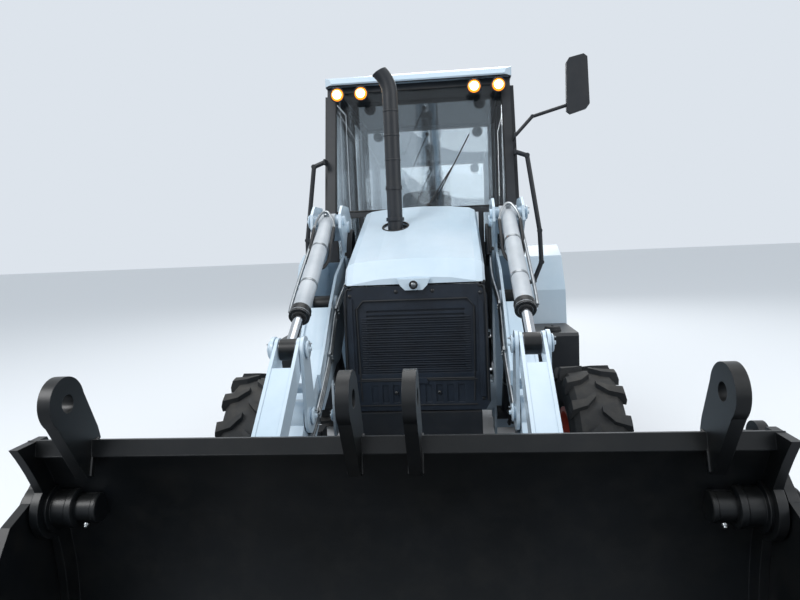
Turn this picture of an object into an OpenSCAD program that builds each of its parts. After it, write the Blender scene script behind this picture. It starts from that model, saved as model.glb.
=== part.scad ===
// Backhoe loader: front loader with a two-part clam bucket, cab, and a centre-pivot rear digger.
// Millimetres. +Z is up, the machine faces -Y, +X is its left. Stations along Y are measured
// from the front axle and shifted once, in place(), so that the origin is under the middle.

/* [Wheels] */
// Distance from front axle to rear axle
wheelbase = 2175; // [2100:5:2250]
// Radius of the front tyre over its lugs
front_r = 488; // [460:1:500]
// Width of the front tyre
front_w = 310; // [290:1:330]
// Half distance between the front tyre middles
front_track_x = 960; // [940:1:980]
// Radius of the rear tyre over its lugs
rear_r = 670; // [640:1:690]
// Width of the rear tyre
rear_w = 480; // [440:1:490]
// Half distance between the rear tyre middles
rear_track_x = 852; // [845:1:870]
// Height of a front tyre lug
front_lug_h = 30; // [20:1:36]
// Height of a rear tyre lug
rear_lug_h = 38; // [26:1:44]
// Lugs on each side of a tyre
lug_count = 16; // [12:1:20]
// Front rim radius at the bead
front_rim_r = 238; // [225:1:245]
// Rear rim radius at the bead
rear_rim_r = 315; // [300:1:325]
// Distance of a kingpin from the machine's middle
kingpin_x = 735; // [725:1:745]

/* [Loader] */
// Middle plane of a loader arm
arm_x = 560; // [556:1:566]
// Width of a loader arm's front box
arm_w = 116; // [110:1:120]
// Plate of arms, levers and links
arm_plate = 16; // [12:1:18]
// Gap between the two plates of a tower
tower_gap = 160; // [158:1:164]
// Plate of a tower
tower_plate = 16; // [12:1:20]
// Height of the arm pivot
arm_pivot_z = 1852; // [1845:1:1860]
// Station of the arm pivot
arm_pivot_y = 436; // [430:1:442]
// Loader pin radius
pin_r = 30; // [25:1:34]
// Outer radius of a lift cylinder's barrel
lift_barrel_r = 46; // [42:1:46]
// Radius of a lift cylinder's rod
lift_rod_r = 30; // [25:1:34]
// Outer radius of a tilt cylinder's barrel
tilt_barrel_r = 46; // [42:1:46]
// Radius of a tilt cylinder's rod
tilt_rod_r = 27; // [22:1:30]

/* [Front bucket] */
// Overall width of the front bucket
bucket_w = 2410; // [2380:5:2440]
// Thickness of the bucket's back sheet
back_t = 20; // [16:1:25]
// Radius of the back sheet's inner face
back_r = 1036; // [1020:1:1050]
// Thickness of a clam side plate
clam_side_t = 32; // [25:1:36]
// Thickness of the clam floor
floor_t = 22; // [16:1:28]
// Clearance of the bucket's floor over the ground
bucket_clear = 12; // [5:1:30]
// Half distance between the outer fork lugs
lug_outer_x = 937; // [925:1:945]
// Half distance between the inner fork lugs
lug_inner_x = 90; // [80:1:110]
// Thickness of a fork lug
lug_t = 38; // [30:1:45]
// Radius of a fork lug's head
lug_head_r = 80; // [70:1:90]
// Radius of the hole in a fork lug
lug_hole_r = 27; // [22:1:32]

/* [Hood and cab] */
// Half width of the hood
hood_x = 388; // [380:1:395]
// Thickness of the hood panel
hood_t = 14; // [10:1:18]
// Exhaust pipe radius
pipe_r = 48; // [42:1:52]
// Sideways place of the exhaust pipe
pipe_x = -141; // [-160:1:-120]
// Station of the exhaust pipe
pipe_y = 353; // [345:1:360]
// Half width of the cab
cab_x = 664; // [655:1:672]
// Height of the roof
roof_z = 2960; // [2940:5:3000]
// Side of a cab post
post = 60; // [50:1:66]
// Thickness of the glass
glass_t = 8; // [5:1:10]
// Thickness of the rear fenders
fender_t = 24; // [16:1:30]

/* [Digger] */
// Distance from rear axle to the swing pivot
swing_back = 1325; // [1310:5:1350]
// Width of the digger boom
boom_w = 184; // [170:2:190]
// Plate of the digger boom
boom_plate = 18; // [14:1:22]
// Width of the dipper
dipper_w = 134; // [126:2:136]
// Width of the digger bucket
hoe_bucket_w = 560; // [500:10:570]
// Plate of the digger bucket
hoe_plate = 16; // [12:1:20]
// Digger pin radius
hoe_pin_r = 28; // [24:1:32]
// Outer radius of the digger cylinders' barrels
hoe_barrel_r = 48; // [42:1:50]
// Radius of the digger cylinders' rods
hoe_rod_r = 27; // [22:1:30]
// Length of a stabilizer leg from its pin to its foot pin
leg_len = 1240; // [1200:5:1260]

/* [Hidden] */

// Running clearance of a pin in its bore, on the radius
fit = 0.3;
// Side clearance between moving plates
side_gap = 5;

// Loader pins as [station, height], with the bucket flat on the ground
arm_pin = [arm_pivot_y, arm_pivot_z];
lift_base = [620, 540];
lift_eye = [30, 1390];
tilt_base = arm_pin + [-166, 38];
lever_pin = [-720, 930];
bucket_pin = [-1500, 290];
// The lever and the bucket's ears are the short sides of one parallelogram
short_side = [-40, 330];
tilt_eye = lever_pin + short_side;
link_pin = bucket_pin + short_side;
clam_pin = [-1695, 920];
clam_base = [-1490, 430];
clam_eye = [-1560, 1085];

// Digger pins, folded for travel
swing_y = wheelbase + swing_back;
boom_pin = [swing_y + 215, 700];
boom_base = [swing_y + 85, 1075];
boom_eye = [swing_y - 55, 2080];
dipper_pin = [swing_y + 115, 3040];
dipper_base = [swing_y - 210, 2290];
dipper_eye = [swing_y, 3240];
hoe_pin = [swing_y + 975, 1560];
dipper_dir = atan2(hoe_pin.y - dipper_pin.y, hoe_pin.x - dipper_pin.x);
idler_len = 270;
idler_angle = -35;
idler_pin = hoe_pin - 330 * [cos(dipper_dir), sin(dipper_dir)];
hoe_eye = idler_pin + idler_len * [cos(idler_angle), sin(idler_angle)];
hoe_link_pin = hoe_pin + idler_len * [cos(idler_angle), sin(idler_angle)];
hoe_base = dipper_pin + 250 * [cos(dipper_dir), sin(dipper_dir)]
           - 130 * [sin(dipper_dir), -cos(dipper_dir)];

// Stabilizers, as [sideways, height] in their own plane
leg_pin = [520, 650];
leg_y = swing_y - 470;
leg_angle = 75;
leg_base = [130, 1400];
leg_eye = leg_pin + 280 * [cos(leg_angle), sin(leg_angle)];

// Front edge of the clam and the rearmost point of the digger set the machine's middle
clam_edge_y = -2505;
hoe_rear_y = hoe_link_pin.x + 45;
mid_y = (clam_edge_y + hoe_rear_y) / 2;

white = "#dfe6ea";
black = "#1b1d20";
charcoal = "#3a4046";
orange = "#d9541e";
steel = "#c9ced2";
grey = "#8d9297";

function dir(p, q) = atan2(q.y - p.y, q.x - p.x);
function unit(a) = [cos(a), sin(a)];

// Moves stations from the front axle to the machine's middle
module place() translate([0, -mid_y, 0]) children();

// A flat shape drawn as [station, height], made solid from x0 to x1
module slab(x0, x1) translate([x0, 0, 0]) rotate([90, 0, 90]) linear_extrude(x1 - x0) children();

// A flat shape drawn as [sideways, height], made solid from station y0 to y1
module wall(y0, y1) translate([0, y1, 0]) rotate([90, 0, 0]) linear_extrude(y1 - y0) children();

module both() { children(); mirror([1, 0, 0]) children(); }

module pin(p, r, x0, x1) slab(x0, x1) translate(p) circle(r);

// A strap with round ends of radii r1 and r2 about p and q
module strap(p, q, r1, r2) {
  n = [-sin(dir(p, q)), cos(dir(p, q))];
  translate(p) circle(r1);
  translate(q) circle(r2);
  polygon([p + n * r1 * 0.97, q + n * r2 * 0.97, q - n * r2 * 0.97, p - n * r1 * 0.97]);
}

// A plate in [station, height] with square corners cut at c
module chamfered(y0, y1, z0, z1, c)
  polygon([[y0 + c, z0], [y1 - c, z0], [y1, z0 + c], [y1, z1 - c],
           [y1 - c, z1], [y0 + c, z1], [y0, z1 - c], [y0, z0 + c]]);

// Puts the local Z axis on the line from p to q in the plane x
module along(x, p, q) translate([x, p.x, p.y]) rotate([dir(p, q) - 90, 0, 0]) children();

// Shortest length of a ram, from its rest length and the slide that closes it
function closed_len(p, q, slide) = norm(q - p) + slide;

// A ram's barrel with its eye at p: bore for the rod, gland nut and two oil ports
module ram_barrel(x, p, q, slide, r, rod_r, eye_w, eye_pin_r) {
  len = closed_len(p, q, slide) - r - 30;
  along(x, p, q) difference() {
    union() {
      translate([0, 0, r * 0.6]) cylinder(h = len - r * 0.6, r = r);
      translate([0, 0, len - 55]) cylinder(h = 55, r = r + 7);
      rotate([0, 90, 0]) cylinder(h = eye_w, r = r, center = true);
      for (z = [r + 40, len - 85]) translate([0, 0, z]) rotate([90, 0, 0]) cylinder(h = r + 16, r = 13);
    }
    translate([0, 0, r + 20]) cylinder(h = len, r = rod_r + 1);
    rotate([0, 90, 0]) cylinder(h = eye_w + 2, r = eye_pin_r + fit, center = true);
  }
}

// A ram's rod from its eye at q back into the barrel
module ram_rod(x, p, q, slide, r, eye_r, eye_w, barrel_r) {
  len = closed_len(p, q, slide) - barrel_r - 34;
  along(x, q, p) {
    cylinder(h = len, r = r);
    rotate([0, 90, 0]) cylinder(h = eye_w, r = eye_r, center = true);
  }
}

// How far each ram closes from where it stands at rest
tilt_close = -165;
clam_close = -256;
dipper_close = -376;
hoe_close = -489;

// Chassis
rail_x = [290, 350];
rail_z = [560, 800];
rear_plate = 24;
leg_gap = 152;
tank_x = 670;

module rail() slab(rail_x[0], rail_x[1]) polygon([
  [-180, rail_z[0]], [wheelbase - 420, rail_z[0]], [wheelbase - 270, rear_r + 100],
  [wheelbase + 300, rear_r + 100], [wheelbase + 430, 480], [leg_y - rear_plate, 480],
  [leg_y - rear_plate, 980], [wheelbase - 270, 980], [wheelbase - 430, rail_z[1]],
  [-180, rail_z[1]]]);

// One of the two cross plates that carry the stabilizers
module leg_plate() polygon([
  [-450, 440], [450, 440], [585, 560], [585, 730], [430, 800], [230, 1470],
  [-230, 1470], [-430, 800], [-585, 730], [-585, 560]]);

module chassis_frame() place() color(black) {
  both() rail();
  // Nose plate under the grille, and cross members between the rails
  wall(-250, -180) polygon([[-350, 575], [-310, 540], [310, 540], [350, 575], [350, 800],
                            [-350, 800]]);
  for (y = [300, 1080, 1560]) slab(-rail_x[0], rail_x[0]) chamfered(y, y + 120, 600, 780, 20);
  // Bolster plates that carry the front axle's pivot
  for (y = [-150, 110]) difference() {
    wall(y, y + 40) polygon([[-rail_x[0], 640], [rail_x[0], 640], [rail_x[0], 790],
                             [-rail_x[0], 790]]);
    translate([0, y - 5, 710]) rotate([-90, 0, 0]) cylinder(h = 60, r = 40 + fit);
  }
  // Transmission under the cab
  slab(-190, 190) chamfered(820, 1060, 520, 880, 40);
  slab(-150, 150) chamfered(1060, 1740, 600, 860, 40);
  // Stabilizer frame across the back
  for (y = [leg_y - rear_plate, leg_y + leg_gap]) wall(y, y + rear_plate) leg_plate();
  wall(leg_y, leg_y + leg_gap) polygon([[-240, 470], [240, 470], [240, 560], [-240, 560]]);
  wall(leg_y, leg_y + leg_gap) polygon([[-60, 560], [60, 560], [60, 1440], [-60, 1440]]);
  both() translate([leg_base.x, leg_y - rear_plate, leg_base.y]) rotate([-90, 0, 0])
    cylinder(h = leg_gap + 2 * rear_plate, r = pin_r);
  both() translate([leg_pin.x, leg_y - rear_plate - 14, leg_pin.y]) rotate([-90, 0, 0])
    cylinder(h = leg_gap + 2 * rear_plate + 28, r = pin_r);
  // Two lugs that hold the swing post
  for (z = [430, 900]) difference() {
    translate([0, 0, z]) linear_extrude(50) {
      translate([0, swing_y]) circle(104);
      polygon([[-140, leg_y + leg_gap + rear_plate], [140, leg_y + leg_gap + rear_plate],
               [140, leg_y + leg_gap + rear_plate + 20], [101, swing_y - 165],
               [101, swing_y], [-101, swing_y], [-101, swing_y - 165],
               [-140, leg_y + leg_gap + rear_plate + 20]]);
    }
    translate([0, swing_y, z - 5]) cylinder(h = 60, r = 45 + fit);
  }
  // Tank on the left and tool box on the right, each with a step cut in its rear corner
  both() difference() {
    slab(tank_x, 1060) polygon([[680, 600], [720, 560], [1330, 560], [1370, 600], [1370, 760],
                             [1200, 760], [1200, 1060], [1180, 1070], [700, 1070], [680, 1050]]);
    slab(900, 1061) polygon([[1225, 600], [1371, 600], [1371, 735], [1225, 735]]);
  }
  both() for (y = [770, 1180]) slab(rail_x[1], tank_x + 1) chamfered(y, y + 90, 600, 700, 15);
}

module engine_block() place() color(grey)
  slab(-230, 230) polygon([[-20, 830], [60, 790], [700, 790], [700, 1180], [600, 1330],
                           [60, 1330], [-20, 1250]]);

// Loader towers: a plate each side of the arm, joined at the back
module tower_side() polygon([
  [tilt_base.x - 75, 1840], [tilt_base.x - 58, 1930], [tilt_base.x + 20, 1985], [500, 1985],
  [560, 1935], [640, 1500], [745, 1300], [745, 400], [575, 400], [560, 450], [560, 800],
  [505, 1240], [440, 1480], [340, 1700]]);

module loader_towers() place() color(white) both() {
  for (x = [arm_x - tower_gap / 2 - tower_plate, arm_x + tower_gap / 2])
    slab(x, x + tower_plate) tower_side();
  slab(arm_x - tower_gap / 2, arm_x + tower_gap / 2)
    polygon([[725, 400], [745, 400], [745, 1300], [640, 1500], [618, 1620], [598, 1620],
             [620, 1490], [725, 1292]]);
  // Box beam to the chassis rail
  slab(rail_x[1], arm_x - tower_gap / 2 - tower_plate) chamfered(560, 720, 570, 790, 20);
  for (p = [arm_pin, tilt_base, lift_base])
    pin(p, p == arm_pin ? pin_r + 8 : pin_r, arm_x - tower_gap / 2 - tower_plate - 14,
        arm_x + tower_gap / 2 + tower_plate + 14);
}

// Front axle: bowl, tapering arms and a forked end that holds each knuckle above and below
yoke_h = 118;
yoke_t = 34;

module front_axle() place() color(black) {
  translate([0, 0, front_r]) {
    rotate([0, 90, 0]) rotate_extrude() polygon([
      [0, -640], [62, -640], [62, -560], [66, -260], [120, -150], [150, -90], [150, 90],
      [120, 150], [66, 260], [62, 560], [62, 640], [0, 640]]);
    // Pivot on top of the bowl, held by the chassis bolster
    translate([0, 150, 710 - front_r]) rotate([90, 0, 0]) cylinder(h = 300, r = 40);
    wall(-100, 100) polygon([[-80, 120], [80, 120], [60, 262], [-60, 262]]);
    both() {
      for (s = [-1, 1]) difference() {
        translate([0, 0, s > 0 ? yoke_h : -yoke_h - yoke_t]) linear_extrude(yoke_t) {
          translate([kingpin_x, 0]) circle(62);
          polygon([[600, -75], [kingpin_x - 20, -58], [kingpin_x - 20, 58], [600, 75]]);
        }
        translate([kingpin_x, 0, s * yoke_h - 60]) cylinder(h = 120, r = pin_r + fit);
      }
      wall(-60, 60) polygon([[590, -yoke_h - yoke_t], [640, -yoke_h - yoke_t],
                             [640, yoke_h + yoke_t], [590, yoke_h + yoke_t]]);
    }
  }
  // Propeller shaft from the transmission
  translate([0, 145, front_r]) rotate([-84.5, 0, 0]) cylinder(h = 678, r = 32);
}

module knuckle() translate([kingpin_x, 0, front_r]) {
  translate([0, 0, -yoke_h + side_gap]) cylinder(h = 2 * (yoke_h - side_gap), r = 78);
  for (s = [-1, 1]) translate([0, 0, s > 0 ? yoke_h - 20 : -yoke_h - yoke_t])
    cylinder(h = yoke_t + 20, r = pin_r);
  rotate([0, 90, 0]) cylinder(h = 62, r = 105);
  rotate([0, 90, 0]) cylinder(h = hub_x, r = 72);
  // Steering arm towards the rear
  translate([0, 0, -60]) linear_extrude(28) {
    polygon([[-36, 0], [36, 0], [16, 190], [-36, 190]]);
    translate([-10, 190]) circle(26);
  }
}
hub_x = front_track_x - kingpin_x - 78 - fit;

module knuckle_left() place() color(black) knuckle();
module knuckle_right() place() color(black) mirror([1, 0, 0]) knuckle();

// Rear axle: bowl, trumpets, pads under the rails and the brake housings
module rear_axle() place() color(black) {
  translate([0, wheelbase, rear_r]) {
    rotate([0, 90, 0]) rotate_extrude() polygon([
      [0, -hub_rear_x], [88, -hub_rear_x], [88, -560], [150, -560], [150, -520], [92, -500],
      [92, -300], [150, -170], [185, -90], [185, 90], [150, 170], [92, 300], [92, 500],
      [150, 520], [150, 560], [88, 560], [88, hub_rear_x], [0, hub_rear_x]]);
    both() slab(rail_x[0] - 10, rail_x[1] + 10) polygon([[-120, 40], [120, 40], [140, 100],
                                                        [-140, 100]]);
  }
  translate([0, wheelbase - 150, rear_r]) rotate([84, 0, 0]) cylinder(h = 283, r = 32);
}
hub_rear_x = rear_track_x - 110 - fit;

// Tyre and rim sections as [radius, across], one half, from the bead to the middle of the tread
function tyre_half(r, w, rim) = [
  [rim, w * 0.36], [rim + 20, w * 0.36], [rim + (r - rim) * 0.25, w * 0.45],
  [rim + (r - rim) * 0.5, w * 0.478], [r - (r - rim) * 0.28, w * 0.47],
  [r - (r - rim) * 0.12, w * 0.43], [r, w * 0.34]];

function mirrored(half) = concat(half, [for (i = [len(half) - 1 : -1 : 0]) [half[i].x, -half[i].y]]);

// One lug in plan as [across, along]: from the middle of the tread, bent out to the shoulder
module lug_plan(w, k) polygon([
  [w * 0.03, -14 * k], [w * 0.22, w * 0.17 - 22 * k], [w * 0.52, w * 0.25 - 30 * k],
  [w * 0.52, w * 0.25 + 30 * k], [w * 0.20, w * 0.17 + 22 * k], [w * 0.03, 16 * k]]);

// A tyre lying on its side, its middle at the origin
module tyre(r, w, rim, lug_h, k) {
  body_r = r - lug_h;
  rotate_extrude($fn = 96) polygon(mirrored(tyre_half(body_r, w, rim)));
  intersection() {
    rotate_extrude($fn = 96) polygon(mirrored([
      [body_r - lug_h * 1.6, w * 0.3], [body_r - lug_h * 1.6, w * 0.495],
      [body_r - lug_h * 0.2, w * 0.5], [r, w * 0.46], [r, 0]]));
    union() for (i = [0 : lug_count - 1]) for (s = [0, 1])
      rotate([0, 0, (i + s / 2) * 360 / lug_count]) mirror([0, 0, s])
        translate([body_r - lug_h * 1.7, 0, 0]) rotate([0, 90, 0]) mirror([1, 0, 0])
          linear_extrude(lug_h * 3) lug_plan(w, k);
  }
}

// A rim with its disc at across = d; cap is the height of the hub cap
module rim(w, r, d, hub, cap) {
  rotate_extrude($fn = 96) polygon([
    [r - 14, -w * 0.36 - 12], [r + 15, -w * 0.36 - 12], [r + 15, -w * 0.36], [r, -w * 0.36],
    [r, w * 0.36], [r + 15, w * 0.36], [r + 15, w * 0.36 + 12], [r - 14, w * 0.36 + 12],
    [r - 30, w * 0.2], [r - 30, d + 40], [hub + 30, d + 16], [0, d + 16], [0, d],
    [hub + 30, d], [r - 30, d + 18], [r - 30, -w * 0.2]]);
  translate([0, 0, d + 16]) {
    cylinder(h = cap * 0.7, r = hub);
    cylinder(h = cap, r = hub * 0.75);
  }
}

// Stands a part that was made lying down at a wheel's place, outside to the left
module wheel_at(x, y, z) translate([x, y, z]) rotate([0, 90, 0]) children();

module front_tyre() wheel_at(front_track_x, 0, front_r)
  tyre(front_r, front_w, front_rim_r, front_lug_h, 1);
module front_rim() wheel_at(front_track_x, 0, front_r) rim(front_w, front_rim_r, -78, 105, 95);
module rear_tyre() wheel_at(rear_track_x, wheelbase, rear_r)
  tyre(rear_r, rear_w, rear_rim_r, rear_lug_h, 1.35);
module rear_rim() wheel_at(rear_track_x, wheelbase, rear_r) rim(rear_w, rear_rim_r, -110, 110, 60);

module front_tyre_left() place() color("#26282a") front_tyre();
module front_tyre_right() place() color("#26282a") mirror([1, 0, 0]) front_tyre();
module front_rim_left() place() color(orange) front_rim();
module front_rim_right() place() color(orange) mirror([1, 0, 0]) front_rim();
module rear_tyre_left() place() color("#26282a") rear_tyre();
module rear_tyre_right() place() color("#26282a") mirror([1, 0, 0]) rear_tyre();
module rear_rim_left() place() color(orange) rear_rim();
module rear_rim_right() place() color(orange) mirror([1, 0, 0]) rear_rim();

// Loader arm, seen from the side: a closed front box, then two cheeks that let both rams through
arm_box = [
  [-75, 1020], [-360, 900], [-570, 770], [-1480, 218], [-1530, 225], [-1570, 300], [-1520, 362],
  [-1080, 640], [-800, 900], [-640, 965], [-330, 1180], [-105, 1385]];
arm_cheek = [
  [-430, 875], [-40, 1040], [80, 1050], [250, 1185], [430, 1480], [522, 1640], [535, 1790],
  [515, 1890], [440, 1938], [370, 1915], [345, 1850], [365, 1790], [402, 1710], [388, 1660],
  [290, 1625], [100, 1555], [-105, 1400], [-330, 1195], [-480, 1075]];
cross_tube = [-1090, 548];

module loader_arms() place() color(white) {
  both() difference() {
    union() {
      slab(arm_x - arm_w / 2, arm_x + arm_w / 2) {
        polygon(arm_box);
        translate(lever_pin) circle(78);
      }
      pin(arm_pin, 86, arm_x - arm_w / 2, arm_x + arm_w / 2);
      for (s = [-1, 1]) {
        slab(arm_x + s * (arm_w + arm_plate) / 2 - arm_plate / 2,
             arm_x + s * (arm_w + arm_plate) / 2 + arm_plate / 2) polygon(arm_cheek);
        // Pin end at the ram's eye
        slab(arm_x + s * (arm_w / 2 + arm_plate) - 8, arm_x + s * (arm_w / 2 + arm_plate) + 8)
          translate(lift_eye) circle(pin_r + 20);
      }
    }
    pin(arm_pin, pin_r + 8 + fit, arm_x - arm_w, arm_x + arm_w);
    pin(lever_pin, pin_r + fit, arm_x - arm_w, arm_x + arm_w);
    pin(bucket_pin, pin_r + fit, arm_x - arm_w, arm_x + arm_w);
  }
  // Cross tube that ties both arms near the bucket
  pin(cross_tube, 66, -arm_x + arm_w / 2, arm_x - arm_w / 2);
}

module lift_barrels() place() color(black) both()
  ram_barrel(arm_x, lift_base, lift_eye, 0, lift_barrel_r, lift_rod_r, tower_gap - 10, pin_r);
module lift_rods() place() color(steel) both()
  ram_rod(arm_x, lift_base, lift_eye, 0, lift_rod_r, 50, arm_w - 10, lift_barrel_r);

// Levers straddle the arm; links run inside them down to the bucket
lever_in = arm_w / 2 + 5;
link_half = lever_in - 3;

module tipping_levers() place() color(white) both() {
  for (x = [arm_x - lever_in - arm_plate, arm_x + lever_in]) slab(x, x + arm_plate)
    strap(lever_pin, tilt_eye, 82, 62);
  pin(lever_pin, pin_r, arm_x - lever_in - arm_plate - 8, arm_x + lever_in + arm_plate + 8);
  // Spacer between the two plates, above the arm
  pin(lever_pin + short_side * 0.42, 24, arm_x - lever_in, arm_x + lever_in);
  // The upper pin is in two halves, one each side of the ram's eye
  for (s = [-1, 1]) slab(arm_x + (s > 0 ? link_half - arm_plate : -lever_in - arm_plate - 8),
                         arm_x + (s > 0 ? lever_in + arm_plate + 8 : arm_plate - link_half))
    translate(tilt_eye) circle(pin_r);
}

link_dir = dir(tilt_eye, link_pin);
link_len = norm(link_pin - tilt_eye);
link_n = [sin(link_dir), -cos(link_dir)];
function on_link(s, n) = tilt_eye + s * unit(link_dir) + n * link_n;

module tipping_links() place() color(white) both() difference() {
  union() {
    for (x = [arm_x - link_half, arm_x + link_half - arm_plate]) slab(x, x + arm_plate)
      strap(tilt_eye, link_pin, 56, 52);
    // Front web between the two plates
    slab(arm_x - link_half, arm_x + link_half)
      polygon([on_link(150, 30), on_link(link_len - 80, 30), on_link(link_len - 80, 48),
               on_link(150, 50)]);
  }
  for (p = [tilt_eye, link_pin]) pin(p, pin_r + fit, arm_x - arm_w, arm_x + arm_w);
}

module tilt_barrels() place() color(grey) both()
  ram_barrel(arm_x, tilt_base, tilt_eye, tilt_close, tilt_barrel_r, tilt_rod_r, arm_w - 10, pin_r);
module tilt_rods() place() color(steel) both()
  ram_rod(arm_x, tilt_base, tilt_eye, tilt_close, tilt_rod_r, 50, 2 * (link_half - arm_plate) - 8,
          tilt_barrel_r);

// Front bucket: a curved back, and a clam with the floor and both sides that swings off it
sheet_c = [-2660, 630];
back_x = bucket_w / 2 - 75;
clam_x = back_x + 8;
clam_ram_x = 1070;
clam_rod_r = 20;

module back_sheet(r0, r1, z0, z1) intersection() {
  translate(sheet_c) difference() { circle(r1); circle(r0); }
  polygon([[-2400, z0], [-1500, z0], [-1500, z1], [-2400, z1]]);
}

// Ear plate behind the sheet that holds the arm's pin and the link's pin
module bucket_ear() difference() {
  union() {
    strap(bucket_pin, link_pin, 74, 64);
    polygon([[-1660, 130], [-1500, 216], [-1426, 290], [-1480, 620], [-1560, 760], [-1640, 900],
             [-1650, 900], [-1600, 630], [-1640, 330], [-1700, 160]]);
  }
  translate(sheet_c) circle(back_r + back_t / 2);
}

module fork_lug() difference() {
  union() {
    translate([-1856, 1309]) circle(lug_head_r);
    polygon([[-1930, 1285], [-1800, 1060], [-1765, 1050], [-1738, 1150], [-1712, 1160],
             [-1722, 1200], [-1790, 1352]]);
  }
  translate([-1856, 1309]) circle(lug_hole_r);
}

module bucket_back() place() color(black) {
  slab(-back_x, back_x) {
    back_sheet(back_r, back_r + back_t, 62, 1140);
    // Rim along the top and the lip that the clam closes on
    polygon([[-1772, 1118], [-1742, 1118], [-1726, 1160], [-1760, 1168]]);
    polygon([[-1800, 48], [-1762, 48], [-1745, 110], [-1785, 110]]);
  }
  both() {
    for (s = [-1, 1]) slab(arm_x + s * (lever_in + 9) - 9, arm_x + s * (lever_in + 9) + 9)
      bucket_ear();
    for (p = [bucket_pin, link_pin])
      pin(p, pin_r, arm_x - lever_in - 26, arm_x + lever_in + 26);
    // End plate with the clam's pivot
    slab(back_x - 28, back_x) {
      back_sheet(back_r - 60, back_r + 55, 150, 1165);
      translate(clam_pin) circle(96);
    }
    pin(clam_pin, 45, clam_ram_x - 120, clam_x + clam_side_t + 10);
    pin(clam_pin, 62, clam_x + clam_side_t + 3, clam_x + clam_side_t + 14);
    // Brackets for the clam's ram
    for (x = [clam_ram_x - 59, clam_ram_x + 44]) slab(x, x + 15) difference() {
      union() {
        translate(clam_base) circle(42);
        polygon([[-1640, 250], [-1500, 392], [-1450, 440], [-1510, 470], [-1600, 560],
                 [-1625, 560]]);
      }
      translate(sheet_c) circle(back_r + back_t / 2);
    }
    pin(clam_base, 22, clam_ram_x - 64, clam_ram_x + 60);
    for (x = [lug_inner_x, lug_outer_x]) slab(x - lug_t / 2, x + lug_t / 2) fork_lug();
  }
  // Stiffeners across the back sheet
  for (z = [200, 760]) slab(-back_x + 120, back_x - 120)
    back_sheet(back_r + back_t / 2, back_r + back_t + 26, z, z + 70);
}

module bucket_clam() place() color(black) {
  both() {
    slab(clam_x, clam_x + clam_side_t) difference() {
      union() {
        strap(clam_pin, clam_eye, 85, 50);
        polygon([[-1610, 915], [-1648, 850], [-1655, 640], [-1700, 330], [-1790, bucket_clear],
                 [-2500, bucket_clear], [-2462, 66], [-2330, 300], [-2120, 580], [-1860, 930],
                 [-1770, 965]]);
      }
      translate(clam_pin) circle(45 + fit);
    }
    // Pin end for the ram's eye
    pin(clam_eye, 22, clam_ram_x + 29, clam_x + clam_side_t + 12);
    // Outer stiffener and the side cutter
    slab(clam_x + clam_side_t, bucket_w / 2) {
      polygon([[-1690, 330], [-1770, bucket_clear + 60], [-1850, bucket_clear],
               [-2330, bucket_clear], [-2280, 110], [-1900, 110], [-1800, 200], [-1730, 360]]);
      polygon([[-2500, bucket_clear], [-2350, bucket_clear], [-2240, 300], [-2040, 590],
               [-2120, 580], [-2330, 300], [-2462, 66]]);
    }
  }
  slab(-clam_x, clam_x) {
    polygon([[-1806, bucket_clear], [-2505, bucket_clear], [-2440, bucket_clear + 34],
             [-2330, bucket_clear + 34], [-2320, bucket_clear + floor_t],
             [-1806, bucket_clear + floor_t]]);
    // Box stiffener at the heel of the floor
    polygon([[-1806, bucket_clear + floor_t], [-1930, bucket_clear + floor_t],
             [-1900, bucket_clear + floor_t + 46], [-1840, bucket_clear + floor_t + 60],
             [-1812, bucket_clear + floor_t + 30]]);
  }
}

module clam_barrels() place() color(black) both()
  ram_barrel(clam_ram_x, clam_base, clam_eye, clam_close, 34, clam_rod_r, 78, 22);
module clam_rods() place() color(steel) both()
  ram_rod(clam_ram_x, clam_base, clam_eye, clam_close, clam_rod_r, 38, 50, 34);

// Hood section as [across, rise]: a crowned panel with rounded edges, inset by t on every side
module hood_section(t) polygon([
  [-hood_x + t, -1200], [hood_x - t, -1200], [hood_x - t, -44 - t], [hood_x - 14 - t, -18 - t],
  [hood_x - 52 - t, -2 - t], [200, 12 - t], [0, 18 - t], [-200, 12 - t],
  [-hood_x + 52 + t, -2 - t], [-hood_x + 14 + t, -18 - t], [-hood_x + t, -44 - t]]);

hood_edge = [-151, 1634];
hood_slope = [for (a = [dir([-240, 1516], hood_edge), dir(hood_edge, [717, 1961])]) a];

module hood_body(t) intersection() {
  for_slopes(t);
  slab(-hood_x + t, hood_x - t)
    polygon([[-236 + t, 1400], [717 + t, 1400], [717 + t, 2100], [-236 + t, 2100]]);
}

// The nose slope and the main slope meet at the hood's front edge
module for_slopes(t) intersection() {
  translate([0, hood_edge.x, hood_edge.y]) rotate([hood_slope[0] + 90, 0, 0])
    translate([0, 0, -1200]) linear_extrude(2400) hood_section(t);
  translate([0, hood_edge.x, hood_edge.y]) rotate([hood_slope[1] + 90, 0, 0])
    translate([0, 0, -1200]) linear_extrude(2400) hood_section(t);
}

hood_low = 1512;
hood_hinge = [703, 1914];
module hood() place() color(white) difference() {
  union() {
    difference() {
      hood_body(0);
      hood_body(hood_t);
      slab(-500, 500) polygon([[-300, 1300], [720, 1300], [720, 1560], [-150, hood_low],
                               [-300, hood_low]]);
    }
    // Chin in the middle of the front edge, with its round latch
    wall(-250, -232) polygon([[-90, 1540], [90, 1540], [75, 1505], [48, 1478], [-48, 1478],
                              [-75, 1505]]);
    wall(-262, -250) translate([0, 1508]) circle(20);
    // Hinge arms under the rear edge
    for (x = [-260, 230]) slab(x, x + 30) difference() {
      polygon([[640, 1900], [690, 1893], [720, 1900], [716, 1961], [650, 1937]]);
      translate(hood_hinge) circle(9 + fit);
    }
  }
  translate([pipe_x, pipe_y + 8, 1500]) cylinder(h = 600, r = 80);
}

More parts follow.
